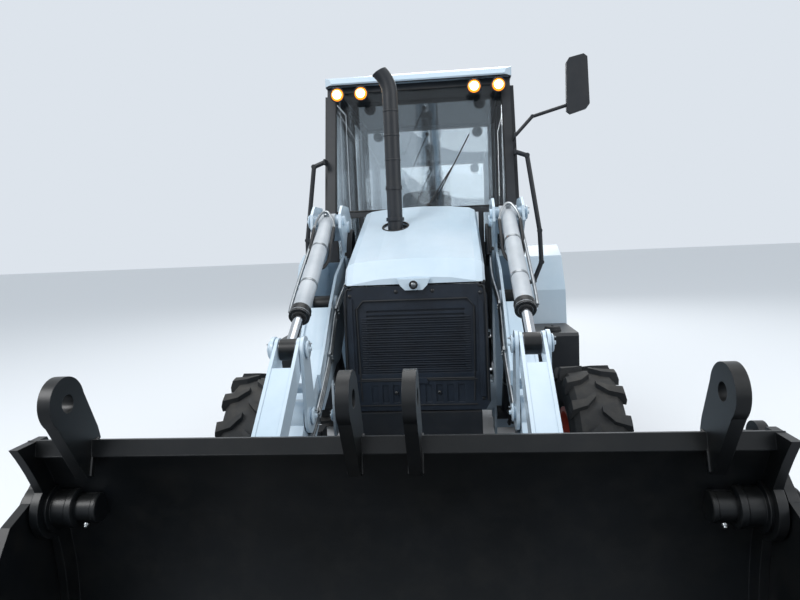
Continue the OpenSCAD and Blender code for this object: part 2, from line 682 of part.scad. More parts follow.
grille_y = -226;
module front_panels() place() color(charcoal) {
  difference() {
    wall(grille_y, grille_y + 26) polygon([[-372, 805], [372, 805], [400, 850], [394, 1440], [352, 1503],
                              [-352, 1503], [-394, 1440], [-400, 850]]);
    // Shallow field and its row of air slots
    wall(grille_y - 1, grille_y + 8) polygon([[-330, 1015], [330, 1015], [330, 1380],
                                              [290, 1420], [-290, 1420], [-330, 1380]]);
    for (z = [1045 : 26 : 1360]) wall(grille_y - 1, grille_y + 20)
      polygon([[-270, z], [270, z], [270, z + 12], [-270, z + 12]]);
    for (x = [-240 : 60 : 240]) wall(grille_y - 1, grille_y + 7)
      polygon([[x - 18, 850], [x + 18, 850], [x + 18, 950], [x - 18, 950]]);
  }
  // Raised side beads and the latch below
  both() wall(grille_y - 12, grille_y) polygon([[345, 880], [375, 880], [370, 1400], [345, 1440]]);
  wall(grille_y - 10, grille_y + 8) polygon([[-60, 960], [60, 960], [50, 990], [-50, 990]]);
  // Side panels with cooling slots
  both() difference() {
    slab(372, 386) polygon([[grille_y + 26, 830], [120, 830], [420, 980], [560, 1120],
                            [560, 1500], [grille_y + 26, 1500]]);
    for (z = [1180 : 34 : 1420]) slab(360, 400)
      polygon([[60, z], [420, z], [420, z + 16], [60, z + 16]]);
  }
}

// Exhaust: straight pipe up from the engine with a bent end cut off level
module exhaust_stack() place() color(charcoal) {
  translate([pipe_x, pipe_y, 1330]) {
    difference() {
      cylinder(h = 1327, r = pipe_r);
      translate([0, 0, 200]) cylinder(h = 1200, r = pipe_r - 4);
    }
    cylinder(h = 120, r = pipe_r + 26);
    translate([0, 0, 545]) cylinder(h = 22, r = pipe_r + 9);
  }
  translate([pipe_x - 200, pipe_y, 2657]) rotate([90, 0, 0]) difference() {
    rotate_extrude(angle = 52) translate([200, 0]) difference() { circle(pipe_r); circle(pipe_r - 4); }
    rotate([0, 0, 52]) translate([150, 0, -60]) rotate([0, 0, -24]) translate([-60, 0, 0])
      cube([200, 90, 120]);
  }
}

// Cab outline along the machine
cab_front = 770;
cab_rear = 2650;
sill_z = 1100;
waist_z = 1640;
head_z = 2850;
frame_top = 2890;
scr_low = [cab_front, 1950];
scr_top = [1015, frame_top];
tub_x = 585;

module cab_frame() place() color(charcoal) {
  both() {
    // Front post, centre post and rear post
    slab(cab_x - post, cab_x) {
      polygon([[cab_front, sill_z], [cab_front + post, sill_z], [cab_front + post, 1960],
               [scr_top.x + post, frame_top], scr_top, scr_low]);
      polygon([[1790, waist_z + 60], [1850, waist_z], [1850, frame_top], [1790, frame_top]]);
      polygon([[cab_rear - post, waist_z], [cab_rear, waist_z], [cab_rear, frame_top],
               [cab_rear - post, frame_top]]);
      // Waist rail, head rail and the sill under the door
      polygon([[1850, waist_z], [cab_rear, waist_z], [cab_rear, waist_z + 60],
               [1790, waist_z + 60]]);
      polygon([[scr_top.x, head_z + 5], [cab_rear, head_z + 5], [cab_rear, frame_top],
               [scr_top.x, frame_top]]);
    }
    // Wall of the tub between the tyres, and the shelf out to the waist
    slab(tub_x - 14, tub_x) polygon([[1390, sill_z], [cab_rear, sill_z], [cab_rear, waist_z + 14],
                                     [1560, waist_z + 14], [1390, 1440]]);
    slab(tub_x - 14, cab_x - post) polygon([[1560, waist_z], [cab_rear, waist_z],
                                            [cab_rear, waist_z + 14], [1560, waist_z + 14]]);
  }
  slab(-cab_x + post, cab_x - post) {
    // Firewall, scuttle, windscreen header and rear header
    polygon([[cab_front, sill_z], [cab_front + 16, sill_z], [cab_front + 16, 1560],
             [cab_front, 1560]]);
    polygon([[cab_front, 1930], [cab_front + 40, 1930], [cab_front + 50, 1962],
             [cab_front + 4, 1962]]);
    polygon([[scr_top.x - 13, head_z - 5], [scr_top.x + 45, head_z - 5],
             [scr_top.x + 60, frame_top], scr_top]);
    polygon([[cab_rear - 50, head_z - 5], [cab_rear, head_z - 5], [cab_rear, frame_top],
             [cab_rear - 50, frame_top]]);
    polygon([[cab_rear - 16, waist_z], [cab_rear, waist_z], [cab_rear, waist_z + 60],
             [cab_rear - 16, waist_z + 60]]);
  }
  // Rear wall below the window, between the fenders
  slab(-tub_x, tub_x) polygon([[cab_rear - 16, sill_z], [cab_rear, sill_z],
                               [cab_rear, waist_z + 1], [cab_rear - 16, waist_z + 1]]);
  // Lugs that carry the hood's hinge pin
  both() {
    slab(263, 277) polygon([[cab_front + 6, 1885], [cab_front + 6, 1930], [706, 1930], [686, 1915],
                            [700, 1897]]);
    pin(hood_hinge, 9, 228, 277);
  }
  // Posts beside the hood that hold the quarter windows
  both() slab(404, 430) polygon([[cab_front, 1560], [cab_front + 24, 1560],
                                 [cab_front + 24, 1930], [cab_front, 1930]]);
  // Floor, wide at the doors and narrow between the tyres
  translate([0, 0, sill_z]) linear_extrude(24) polygon([
    [-640, cab_front + 16], [640, cab_front + 16], [640, 1390], [tub_x, 1390],
    [tub_x, cab_rear - 16], [-tub_x, cab_rear - 16], [-tub_x, 1390], [-640, 1390]]);
  // Mounts down to the rails
  both() for (y = [900, 2300]) translate([320, y, y > 1500 ? 980 : rail_z[1]])
    cylinder(h = sill_z - (y > 1500 ? 980 : rail_z[1]), r = 45);
}

module cab_roof() place() color(white) difference() {
  slab(-cab_x - 12, cab_x + 12) polygon([
    [960, frame_top], [cab_rear + 60, frame_top], [cab_rear + 70, frame_top + 40],
    [cab_rear + 30, roof_z], [1010, roof_z], [965, roof_z - 20], [950, frame_top + 14]]);
  // Corners cut off in plan
  both() translate([cab_x + 12, 950, frame_top - 1]) rotate([0, 0, 45])
    cube([75, 75, 200], center = true);
  both() translate([cab_x + 12, cab_rear + 70, frame_top - 1]) rotate([0, 0, 45])
    cube([75, 75, 200], center = true);
  // Shallow pan in the top
  slab(-cab_x + 90, cab_x - 90) polygon([[1130, roof_z - 14], [cab_rear - 60, roof_z - 14],
                                         [cab_rear - 60, roof_z + 1], [1130, roof_z + 1]]);
}

scr_n = [-sin(dir(scr_low, scr_top)), cos(dir(scr_low, scr_top))];

module cab_glass() place() color("#aebcc4") {
  // Windscreen, quarter windows beside the hood, rear window and rear side windows
  slab(-cab_x + post + 2, cab_x - post - 2) polygon([
    scr_low + [6, 14], scr_top + [-7, -46], scr_top + [-7, -46] - glass_t * scr_n,
    scr_low + [6, 14] - glass_t * scr_n]);
  both() slab(432, cab_x - post - 2) polygon([[cab_front + 4, 1562], [cab_front + 12, 1562],
                                              [cab_front + 12, 1928], [cab_front + 4, 1928]]);
  slab(-cab_x + post + 2, cab_x - post - 2) polygon([
    [cab_rear - 20, waist_z + 62], [cab_rear - 12, waist_z + 62], [cab_rear - 12, head_z - 7],
    [cab_rear - 20, head_z - 7]]);
  both() slab(cab_x - 20, cab_x - 20 + glass_t) polygon([
    [1852, waist_z + 62], [cab_rear - post - 2, waist_z + 62],
    [cab_rear - post - 2, head_z + 3], [1852, head_z + 3]]);
}

// Door outline: [station, height], narrow below where the rear tyre comes forward
function door_shape(t) = [
  [850 + t, 1106 + t], [1372 - t, 1106 + t], [1385 - t, 1450], [1500, 1655 + t],
  [1640, 1706 + t], [1780 - t, 1730 + t], [1780 - t, head_z - 4 - t], [1088 + t * 0.9, head_z - 4 - t],
  [850 + t, 1962 + t * 0.2]];

module door_frame() {
  slab(cab_x + 5, cab_x + 33) difference() {
    polygon(door_shape(0));
    difference() {
      polygon(door_shape(46));
      polygon([[800, 1470], [1500, 1470], [1600, 1530], [800, 1530]]);
    }
  }
  // Hinge barrels on the front edge, and the handle
  for (z = [1250, 1800]) translate([cab_x + 19, 842, z]) cylinder(h = 90, r = 14);
  slab(cab_x + 33, cab_x + 60) polygon([[1742, 1990], [1767, 1990], [1767, 2130], [1742, 2130]]);
}

module door_pane() slab(cab_x + 15, cab_x + 15 + glass_t) difference() {
  polygon(door_shape(48));
  polygon([[800, 1468], [1500, 1468], [1600, 1532], [800, 1532]]);
}

module door_left() place() color(charcoal) door_frame();
module door_right() place() color(charcoal) mirror([1, 0, 0]) door_frame();
module door_left_glass() place() color("#aebcc4") door_pane();
module door_right_glass() place() color("#aebcc4") mirror([1, 0, 0]) door_pane();

fender_in = [[1400, 940], [1440, 1300], [1600, 1560], [1800, 1640], [2500, 1640], [2800, 1450],
             [2900, 1150]];
fender_out = [[2900 + fender_t, 1150], [2818, 1464], [2508, 1640 + fender_t],
              [1794, 1640 + fender_t], [1586, 1578], [1418, 1308], [1400 - fender_t, 940]];

module rear_fenders() place() color(white) both() {
  // The inner wall follows the tub; the top stops at the cab's posts above the waist
  difference() {
    slab(tub_x, 1107) polygon(concat(fender_in, fender_out));
    slab(tub_x - 1, cab_x + 6) polygon([[1360, waist_z - 1], [2700, waist_z - 1], [2700, 1700],
                                        [1360, 1700]]);
    slab(tub_x - 1, cab_x + 40) polygon([[1370, 1000], [1398, 1000], [1420, 1300], [1575, 1560],
                                         [1700, 1665], [1360, 1665]]);
  }
  slab(1095, 1107) polygon([[1436, 1310], [1596, 1568], [1800, 1645], [2500, 1645], [2800, 1455],
                            [2820, 1360], [2780, 1340], [2480, 1560], [1820, 1560], [1660, 1500],
                            [1490, 1270]]);
}

lamp_z = 2818;
module work_lamps() place() color(charcoal) {
  both() for (x = [406, 578]) {
    translate([x, 985, lamp_z]) rotate([90, 0, 0]) {
      cylinder(h = 46, r1 = 34, r2 = 48);
      translate([0, 0, 46]) cylinder(h = 10, r = 50);
    }
    slab(x - 10, x + 10) polygon([[955, lamp_z + 30], [985, lamp_z + 20], [985, frame_top],
                                  [965, frame_top]]);
  }
  both() {
    translate([500, cab_rear + 20, lamp_z]) rotate([-90, 0, 0]) {
      cylinder(h = 46, r1 = 34, r2 = 48);
      translate([0, 0, 46]) cylinder(h = 10, r = 50);
    }
    slab(490, 510) polygon([[cab_rear + 20, lamp_z + 20], [cab_rear + 50, lamp_z + 30],
                            [cab_rear + 45, frame_top], [cab_rear + 20, frame_top]]);
  }
}

rail_y = 806;

// A bent tube in the plane across the machine, along points as [sideways, height]
module tube(path, r) {
  for (i = [0 : len(path) - 2]) translate([path[i].x, rail_y, path[i].y])
    rotate([0, atan2(path[i + 1].x - path[i].x, path[i + 1].y - path[i].y), 0])
      cylinder(h = norm(path[i + 1] - path[i]), r = r);
  for (i = [1 : len(path) - 2]) translate([path[i].x, rail_y, path[i].y]) rotate([90, 0, 0])
    cylinder(h = 2 * r + 2, r = r + 1, center = true);
}

// Grab tubes beside the windscreen, and the mirror on the left
module cab_rails() place() color(black) {
  both() {
    tube([[cab_x + 6, 2330], [750, 2300], [826, 1780], [834, 1560], [780, 1430],
          [cab_x + 6, 1400]], 16);
    // Plates flat on the post
    slab(cab_x, cab_x + 12) {
      chamfered(786, 905, 2310, 2350, 4);
      chamfered(786, 822, 1380, 1420, 4);
    }
  }
  slab(cab_x, cab_x + 12) chamfered(786, 925, 2420, 2460, 4);
  tube([[cab_x + 10, 2440], [790, 2560], [1090, 2640]], 12);
  wall(rail_y - 26, rail_y + 14) polygon([[1020, 2580], [1045, 2560], [1150, 2590], [1172, 2620],
                                          [1160, 2930], [1135, 2950], [1040, 2930], [1020, 2900]]);
}

module cab_interior() place() color(black) {
  // Front console, seat base, side consoles and the rear lever stands
  slab(-240, 240) polygon([[800, sill_z + 24], [960, sill_z + 24], [930, 1700], [880, 1790],
                           [800, 1790]]);
  slab(-200, 200) polygon([[1500, sill_z + 24], [1860, sill_z + 24], [1800, 1420], [1540, 1420]]);
  both() slab(360, 560) polygon([[1560, sill_z + 24], [2250, sill_z + 24], [2250, 1540],
                                 [2100, 1600], [1600, 1600], [1560, 1540]]);
  both() slab(120, 300) polygon([[2380, sill_z + 24], [2600, sill_z + 24], [2600, 1560],
                                 [2420, 1600]]);
  both() for (x = [165, 255]) translate([x, 2480, 1540]) rotate([10, 0, 0]) {
    cylinder(h = 230, r = 9);
    translate([0, 0, 230]) sphere(24);
  }
}

module steering_wheel() place() color(black) {
  // Column up from the console
  slab(-26, 26) polygon([[899.2, 1756], [923.6, 1712], [1075, 1905], [1030, 1925]]);
  translate([0, 1060, 1925]) rotate([28, 0, 0]) {
    rotate_extrude() translate([195, 0]) circle(16);
    cylinder(h = 26, r = 50, center = true);
    for (a = [90, 210, 330]) rotate([0, 0, a]) translate([0, -12, -8]) cube([190, 24, 16]);
  }
}

module operator_seat() place() color(black) {
  slab(-240, 240) polygon([[1440, 1440], [1470, 1420], [1880, 1420], [1930, 1450], [1930, 1530],
                           [1870, 1560], [1500, 1575], [1440, 1540]]);
  slab(-220, 220) polygon([[1830, 1556], [1930, 1500], [2010, 1900], [2040, 2160], [2010, 2200],
                           [1950, 2190], [1900, 1900]]);
  both() slab(250, 310) polygon([[1620, 1700], [1960, 1720], [1960, 1780], [1620, 1765]]);
  both() slab(216, 260) polygon([[1900, 1590], [1960, 1590], [1960, 1760], [1900, 1760]]);
}

// Swing post: a hub between the chassis lugs, carrying the boom's foot and its ram
post_in = 112;
post_t = 25;

module swing_post() place() color(white) {
  translate([0, swing_y, 486]) cylinder(h = 408, r = 95);
  translate([0, swing_y, 424]) cylinder(h = 540, r = 45);
  slab(-post_in, post_in) polygon([[swing_y, 500], [swing_y + 118, 500], [swing_y + 118, 880],
                                   [swing_y, 880]]);
  both() slab(post_in, post_in + post_t)
    polygon([[3612, 500], [3700, 590], [3775, 630], [3806, 690], [3800, 760], [3720, 990],
             [3672, 1110], [3610, 1165], [3550, 1150], [3520, 1080], [3540, 1000], [3600, 975],
             [3612, 900]]);
  pin(boom_pin, 38, -post_in - post_t - 12, post_in + post_t + 12);
  pin(boom_base, hoe_pin_r, -post_in - post_t - 10, post_in + post_t + 10);
}

boom_in = boom_w / 2 - boom_plate;

module boom_side() polygon([
  [3632, 690], [3640, 1105], [3505, 1500], [3395, 1900], [3388, 2040], [3425, 2250],
  [3445, 2450], [3525, 2900], [3530, 3040], [3560, 3105], [3615, 3128], [3675, 3100],
  [3705, 3030], [3690, 2900], [3628, 2400], [3618, 1900], [3725, 1300], [3798, 720],
  [3780, 640], [3715, 612], [3650, 640]]);

module boom() place() color(white) {
  difference() {
    union() {
      both() slab(boom_in, boom_in + boom_plate) boom_side();
      pin(boom_pin, 84, -105, 105);
      // Rear web and the closed head
      slab(-boom_in, boom_in) polygon([[3778, 810], [3725, 1300], [3618, 1900], [3627, 2400],
                                       [3607, 2400], [3598, 1895], [3705, 1295], [3750, 790]]);
    }
    pin(boom_pin, 38 + fit, -106, 106);
  }
  pin(dipper_pin, 36, -boom_w / 2 - 14, boom_w / 2 + 14);
  both() {
    // Pin end for the boom ram's eye
    slab(boom_in - 6, boom_w / 2 + 14) translate(boom_eye) circle(hoe_pin_r);
    // Ear for the dipper's ram
    slab(boom_in - 19, boom_in + 1) {
      translate(dipper_base) circle(54);
      polygon([[3262, 2335], [3450, 2480], [3500, 2380], [3480, 2160], [3400, 2110],
               [3270, 2240]]);
    }
  }
  pin(dipper_base, hoe_pin_r, -boom_in, boom_in);
}

module boom_barrel() place() color(black)
  ram_barrel(0, boom_base, boom_eye, 0, hoe_barrel_r, hoe_rod_r, 134, hoe_pin_r);
module boom_rod() place() color(steel)
  ram_rod(0, boom_base, boom_eye, 0, hoe_rod_r, 46, 2 * boom_in - 50, hoe_barrel_r);

// A point on the dipper: s along it, n out from it on the side of the bucket's ram
function on_dipper(s, n) = dipper_pin + s * unit(dipper_dir) + n * unit(dipper_dir + 90);
dipper_len = norm(hoe_pin - dipper_pin);

module dipper() place() color(white) {
  difference() {
    slab(-dipper_w / 2, dipper_w / 2) {
      polygon([on_dipper(-40, -72), on_dipper(250, -108), on_dipper(900, -92),
               on_dipper(1500, -62), on_dipper(dipper_len, -55), on_dipper(dipper_len, 55),
               on_dipper(1400, 50), on_dipper(300, 50), on_dipper(120, 70), on_dipper(-40, 72)]);
      translate(hoe_pin) circle(58);
      strap(dipper_pin, dipper_eye, 84, 45);
    }
    // Fork that the ram's eye sits in
    slab(-47, 47) {
      translate(dipper_eye) circle(72);
      strap(dipper_eye, dipper_eye + 175 * unit(262), 60, 44);
      strap(dipper_eye, dipper_eye + [52, -90], 66, 66);
    }
    pin(dipper_pin, 36 + fit, -dipper_w, dipper_w);
    pin(hoe_pin, hoe_pin_r + 4 + fit, -dipper_w, dipper_w);
  }
  pin(idler_pin, hoe_pin_r, -dipper_w / 2 - 32, dipper_w / 2 + 32);
  both() {
    slab(47, dipper_w / 2 + 10) translate(dipper_eye) circle(hoe_pin_r);
    // Ear for the bucket's ram
    slab(dipper_w / 2 - 10, dipper_w / 2 + 8) {
      translate(hoe_base) circle(50);
      polygon([on_dipper(130, 40), on_dipper(400, 40), on_dipper(300, 160), on_dipper(205, 160)]);
    }
  }
  pin(hoe_base, hoe_pin_r, -dipper_w / 2, dipper_w / 2);
}

module dipper_barrel() place() color(black)
  ram_barrel(0, dipper_base, dipper_eye, dipper_close, hoe_barrel_r, hoe_rod_r,
             2 * boom_in - 50, hoe_pin_r);
module dipper_rod() place() color(steel)
  ram_rod(0, dipper_base, dipper_eye, dipper_close, hoe_rod_r, 42, 84, hoe_barrel_r);
module hoe_barrel() place() color(black)
  ram_barrel(0, hoe_base, hoe_eye, hoe_close, hoe_barrel_r, hoe_rod_r, 104, hoe_pin_r);
module hoe_rod() place() color(steel)
  ram_rod(0, hoe_base, hoe_eye, hoe_close, hoe_rod_r, 40, 66, hoe_barrel_r);

idler_in = dipper_w / 2 + 5;

module hoe_idler() place() color(white) both() {
  difference() {
    slab(idler_in, idler_in + hoe_plate) strap(idler_pin, hoe_eye, 54, 46);
    pin(idler_pin, hoe_pin_r + fit, 0, 200);
  }
  slab(38, idler_in + hoe_plate + 8) translate(hoe_eye) circle(hoe_pin_r);
}

module hoe_link() place() color(white) both() difference() {
  slab(38, 54) strap(hoe_eye, hoe_link_pin, 44, 42);
  pin(hoe_eye, hoe_pin_r + fit, 0, 200);
  pin(hoe_link_pin, hoe_pin_r + fit, 0, 200);
}

// Outer face of the digger bucket from its lip round to the hinge
hoe_path = [[3771, 1688], [3812, 1400], [3915, 1180], [4125, 1020], [4375, 1010], [4585, 1120],
            [4712, 1296], [4570, 1430], [4425, 1500]];

// The same line moved in by t
function inset(p, t) = [for (i = [0 : len(p) - 1])
  let (a = dir(p[max(i - 1, 0)], p[max(i, 1)]),
       b = dir(p[min(i, len(p) - 2)], p[min(i + 1, len(p) - 1)]),
       d = (b - a + 540) % 360 - 180)
  p[i] + t / cos(d / 2) * unit(a + d / 2 + 90)];

function reversed(p) = [for (i = [len(p) - 1 : -1 : 0]) p[i]];

module hoe_bucket() place() color(black) {
  slab(-hoe_bucket_w / 2, hoe_bucket_w / 2)
    polygon(concat(hoe_path, reversed(inset(hoe_path, hoe_plate))));
  both() {
    slab(hoe_bucket_w / 2 - hoe_plate, hoe_bucket_w / 2) polygon(hoe_path);
    slab(dipper_w / 2 + 5, dipper_w / 2 + 25) {
      strap(hoe_pin, hoe_link_pin, 62, 45);
      polygon([[4414, 1545], [4428, 1490], [4570, 1425], [4712, 1296], [4738, 1390],
               [4530, 1600]]);
    }
    // Side cutter
    slab(hoe_bucket_w / 2, hoe_bucket_w / 2 + 10)
      polygon([[3783, 1676], [3818, 1450], [3890, 1470], [3850, 1630]]);
  }
  for (p = [hoe_pin, hoe_link_pin])
    pin(p, p == hoe_pin ? hoe_pin_r + 4 : hoe_pin_r, -dipper_w / 2 - 34, dipper_w / 2 + 34);
  // Teeth on the lip
  for (x = [-250 : 125 : 250]) slab(x - 28, x + 28)
    polygon([[3766, 1622], [3798, 1634], [3801, 1706], [3755, 1758], [3749, 1752], [3764, 1686]]);
}

// Stabilizer leg: two plates near the pivot with the ram's eye between them, then a box
leg_mid = leg_y + leg_gap / 2;

module leg_side() translate(leg_pin) rotate(leg_angle) {
  polygon([[0, -57], [300, -72], [900, -58], [leg_len - 20, -46], [leg_len + 22, -32],
           [leg_len + 34, 0], [leg_len + 22, 28], [leg_len - 20, 40], [900, 30], [480, 24],
           [200, 26], [0, 57]]);
  circle(60);
}

module stabilizer() place() {
  for (y = [leg_mid - 50, leg_mid + 34]) difference() {
    wall(y, y + 16) {
      leg_side();
      translate(leg_eye) circle(46);
    }
    translate([leg_pin.x, 0, leg_pin.y]) rotate([-90, 0, 0]) cylinder(h = 9000, r = pin_r + fit);
  }
  difference() {
    wall(leg_mid - 34, leg_mid + 34) {
      translate(leg_pin) rotate(leg_angle)
        polygon([[348, -69], [900, -56], [leg_len - 22, -44], [leg_len + 20, -30],
                 [leg_len + 31, 0], [leg_len + 20, 26], [leg_len - 22, 38], [900, 28],
                 [480, 22], [348, 23]]);
      translate(leg_pin) circle(52);
    }
    translate([leg_pin.x, 0, leg_pin.y]) rotate([-90, 0, 0]) cylinder(h = 9000, r = pin_r + fit);
  }
  // Pin ends for the ram's eye
  for (y = [leg_mid - 58, leg_mid + 38]) wall(y, y + 20) translate(leg_eye) circle(pin_r - 4);
  // Foot pad, level when the leg is down
  wall(leg_mid - 75, leg_mid + 75) translate(leg_pin) rotate(leg_angle) translate([leg_len, 0])
    rotate(30) polygon([[-150, -10], [-165, 12], [-175, 6], [-158, -30], [158, -30], [175, 6],
                        [165, 12], [150, -10]]);
  for (y = [leg_mid - 68, leg_mid + 52]) wall(y, y + 16) translate(leg_pin) rotate(leg_angle)
    translate([leg_len, 0]) rotate(30) polygon([[-90, -14], [90, -14], [34, 34], [-34, 34]]);
  wall(leg_mid - 74, leg_mid + 74) translate(leg_pin) rotate(leg_angle)
    translate([leg_len, 0]) circle(20);
}

// A ram in the stabilizer's plane: made lying like the others, then turned to face across
module across() translate([0, leg_mid, 0]) rotate([0, 0, -90]) children();

module stabilizer_barrel() place() across()
  ram_barrel(0, leg_base, leg_eye, 0, lift_barrel_r, 26, leg_gap - 12, pin_r);
module stabilizer_rod() place() across()
  ram_rod(0, leg_base, leg_eye, 0, 26, 42, 60, lift_barrel_r);

module stabilizer_left() color(white) stabilizer();
module stabilizer_right() color(white) mirror([1, 0, 0]) stabilizer();
module stabilizer_barrel_left() color(black) stabilizer_barrel();
module stabilizer_barrel_right() color(black) mirror([1, 0, 0]) stabilizer_barrel();
module stabilizer_rod_left() color(steel) stabilizer_rod();
module stabilizer_rod_right() color(steel) mirror([1, 0, 0]) stabilizer_rod();

chassis_frame();
loader_towers();
engine_block();
front_axle();
rear_axle();
front_panels();
exhaust_stack();
cab_frame();
cab_roof();
cab_glass();
cab_interior();
steering_wheel();
operator_seat();
rear_fenders();
work_lamps();
cab_rails();
hood();
door_left();
door_left_glass();
door_right();
door_right_glass();
knuckle_left();
knuckle_right();
front_rim_left();
front_rim_right();
front_tyre_left();
front_tyre_right();
rear_rim_left();
rear_rim_right();
rear_tyre_left();
rear_tyre_right();
loader_arms();
lift_barrels();
lift_rods();
tipping_levers();
tipping_links();
tilt_barrels();
tilt_rods();
bucket_back();
bucket_clam();
clam_barrels();
clam_rods();
swing_post();
boom();
boom_barrel();
boom_rod();
dipper();
dipper_barrel();
dipper_rod();
hoe_bucket();
hoe_barrel();
hoe_rod();
hoe_idler();
hoe_link();
stabilizer_left();
stabilizer_right();
stabilizer_barrel_left();
stabilizer_barrel_right();
stabilizer_rod_left();
stabilizer_rod_right();
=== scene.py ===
"""Dresses the backhoe loader's frame: finishes, small pieces, light and camera."""

import logging
import math
from collections.abc import Iterable, Sequence
from dataclasses import dataclass
from enum import IntEnum

import bmesh
import bpy
from mathutils import Matrix, Vector


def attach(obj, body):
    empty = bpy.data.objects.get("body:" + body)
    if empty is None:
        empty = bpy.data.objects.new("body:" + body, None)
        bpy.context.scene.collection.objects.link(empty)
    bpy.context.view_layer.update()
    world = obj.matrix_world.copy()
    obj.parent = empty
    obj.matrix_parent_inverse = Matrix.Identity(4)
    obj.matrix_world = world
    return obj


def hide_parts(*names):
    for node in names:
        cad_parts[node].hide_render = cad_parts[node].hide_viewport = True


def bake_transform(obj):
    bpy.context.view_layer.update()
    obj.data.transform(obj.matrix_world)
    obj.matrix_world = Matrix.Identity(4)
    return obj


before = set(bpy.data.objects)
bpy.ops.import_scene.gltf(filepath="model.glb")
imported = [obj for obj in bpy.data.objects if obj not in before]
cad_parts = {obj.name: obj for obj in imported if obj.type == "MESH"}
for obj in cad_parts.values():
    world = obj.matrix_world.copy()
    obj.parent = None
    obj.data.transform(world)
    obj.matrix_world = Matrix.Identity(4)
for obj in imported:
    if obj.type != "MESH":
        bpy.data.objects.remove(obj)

log = logging.getLogger("backhoe_loader")

Colour = tuple[float, float, float, float]
Pairs = Sequence[tuple[float, float]]
Socket = bpy.types.NodeSocket
Tree = bpy.types.NodeTree

X, Y, Z = Vector((1, 0, 0)), Vector((0, 1, 0)), Vector((0, 0, 1))

# The machine is drawn from its front axle; the model's frame starts at its middle
MIDDLE_MM = 1118.0855259790137
# The digger's swing axis, behind the front axle
SWING = 3500.0
# The loader arms' middle planes, left and right
ARMS = (560.0, -560.0)
# The clam's pivots: station and height
CLAM_PIVOT = (-1695.0, 920.0)
# Points closer than this are one, and edges flatter than this are shaded round
MERGE_M, SMOOTH_DEG = 1e-6, 35.0


class Side(IntEnum):
    """The machine's two sides, seen from the front, as signs of X."""

    LEFT = 1
    RIGHT = -1

    @property
    def low(self) -> str:
        """The side's name as pieces and bodies have it."""
        return self.name.lower()


def at(x: float, y: float, z: float) -> Vector:
    """Place of a point of the machine.

    Args:
        x: Millimetres to the machine's left, as seen from the front.
        y: Millimetres behind the front axle.
        z: Millimetres above the ground.

    Returns:
        The point in the model's frame, in metres.
    """
    return Vector((x, y - MIDDLE_MM, z)) / 1000


def at_x(x: float, places: Iterable[tuple[float, float]]) -> list[Vector]:
    """Points of one lengthwise plane, from their stations and heights."""
    return [at(x, y, z) for y, z in places]


def at_y(y: float, places: Iterable[tuple[float, float]]) -> list[Vector]:
    """Points of one crosswise plane, from their sideways places and heights."""
    return [at(x, y, z) for x, z in places]


def loop(points: Sequence[Vector]) -> list[Vector]:
    """A line that comes back to its first point."""
    return [*points, points[0]]


def oblong(low: float, high: float, bottom: float, top: float) -> list[tuple[float, float]]:
    """The corners of a rectangle, in order round it."""
    return [(low, bottom), (high, bottom), (high, top), (low, top)]


def smoothed(points: Sequence[Vector], steps: int = 8) -> list[Vector]:
    """Runs a smooth line through points.

    Args:
        points: The points that the line passes.
        steps: Parts between one point and the next.

    Returns:
        The line's points.
    """
    ends = [points[0] * 2 - points[1], *points, points[-1] * 2 - points[-2]]
    line = []
    for a, b, c, d in zip(ends, ends[1:], ends[2:], ends[3:]):
        for i in range(steps):
            t = i / steps
            line.append(
                0.5 * (2 * b + (c - a) * t + (2 * a - 5 * b + 4 * c - d) * t * t
                       + (3 * b - a - 3 * c + d) * t * t * t)
            )
    line.append(points[-1].copy())
    return line


def linear(hex_code: str) -> Colour:
    """Linear colour of an sRGB hex value.

    Args:
        hex_code: Six hex digits.

    Returns:
        Red, green, blue and an alpha of 1.
    """
    parts = [int(hex_code[i:i + 2], 16) / 255 for i in (0, 2, 4)]
    r, g, b = (c / 12.92 if c <= 0.04045 else ((c + 0.055) / 1.055) ** 2.4 for c in parts)
    return (r, g, b, 1.0)


def add_node(
    tree: Tree, kind: str, output: str | int | None, inputs: dict | None = None,
    **settings: object,
) -> Socket | None:
    """Adds one node to a material's tree.

    Args:
        tree: The tree that gets the node.
        kind: The node's type name, without its ShaderNode prefix.
        output: Name or number of the output that is wanted, if any.
        inputs: Constants, or output sockets to link, by the input's name or number.
        settings: The node's own properties.

    Returns:
        The wanted output's socket.
    """
    made = tree.nodes.new("ShaderNode" + kind)
    for name, value in settings.items():
        setattr(made, name, value)
    for name, value in (inputs or {}).items():
        if isinstance(value, Socket):
            tree.links.new(value, made.inputs[name])
        else:
            made.inputs[name].default_value = value
    return None if output is None else made.outputs[output]


def emptied(owner: bpy.types.Material | bpy.types.World) -> Tree:
    """Clears the node tree of a new material or world.

    Args:
        owner: The material or world.

    Returns:
        Its tree, with nothing in it.
    """
    owner.use_nodes = True
    owner.node_tree.nodes.clear()
    return owner.node_tree


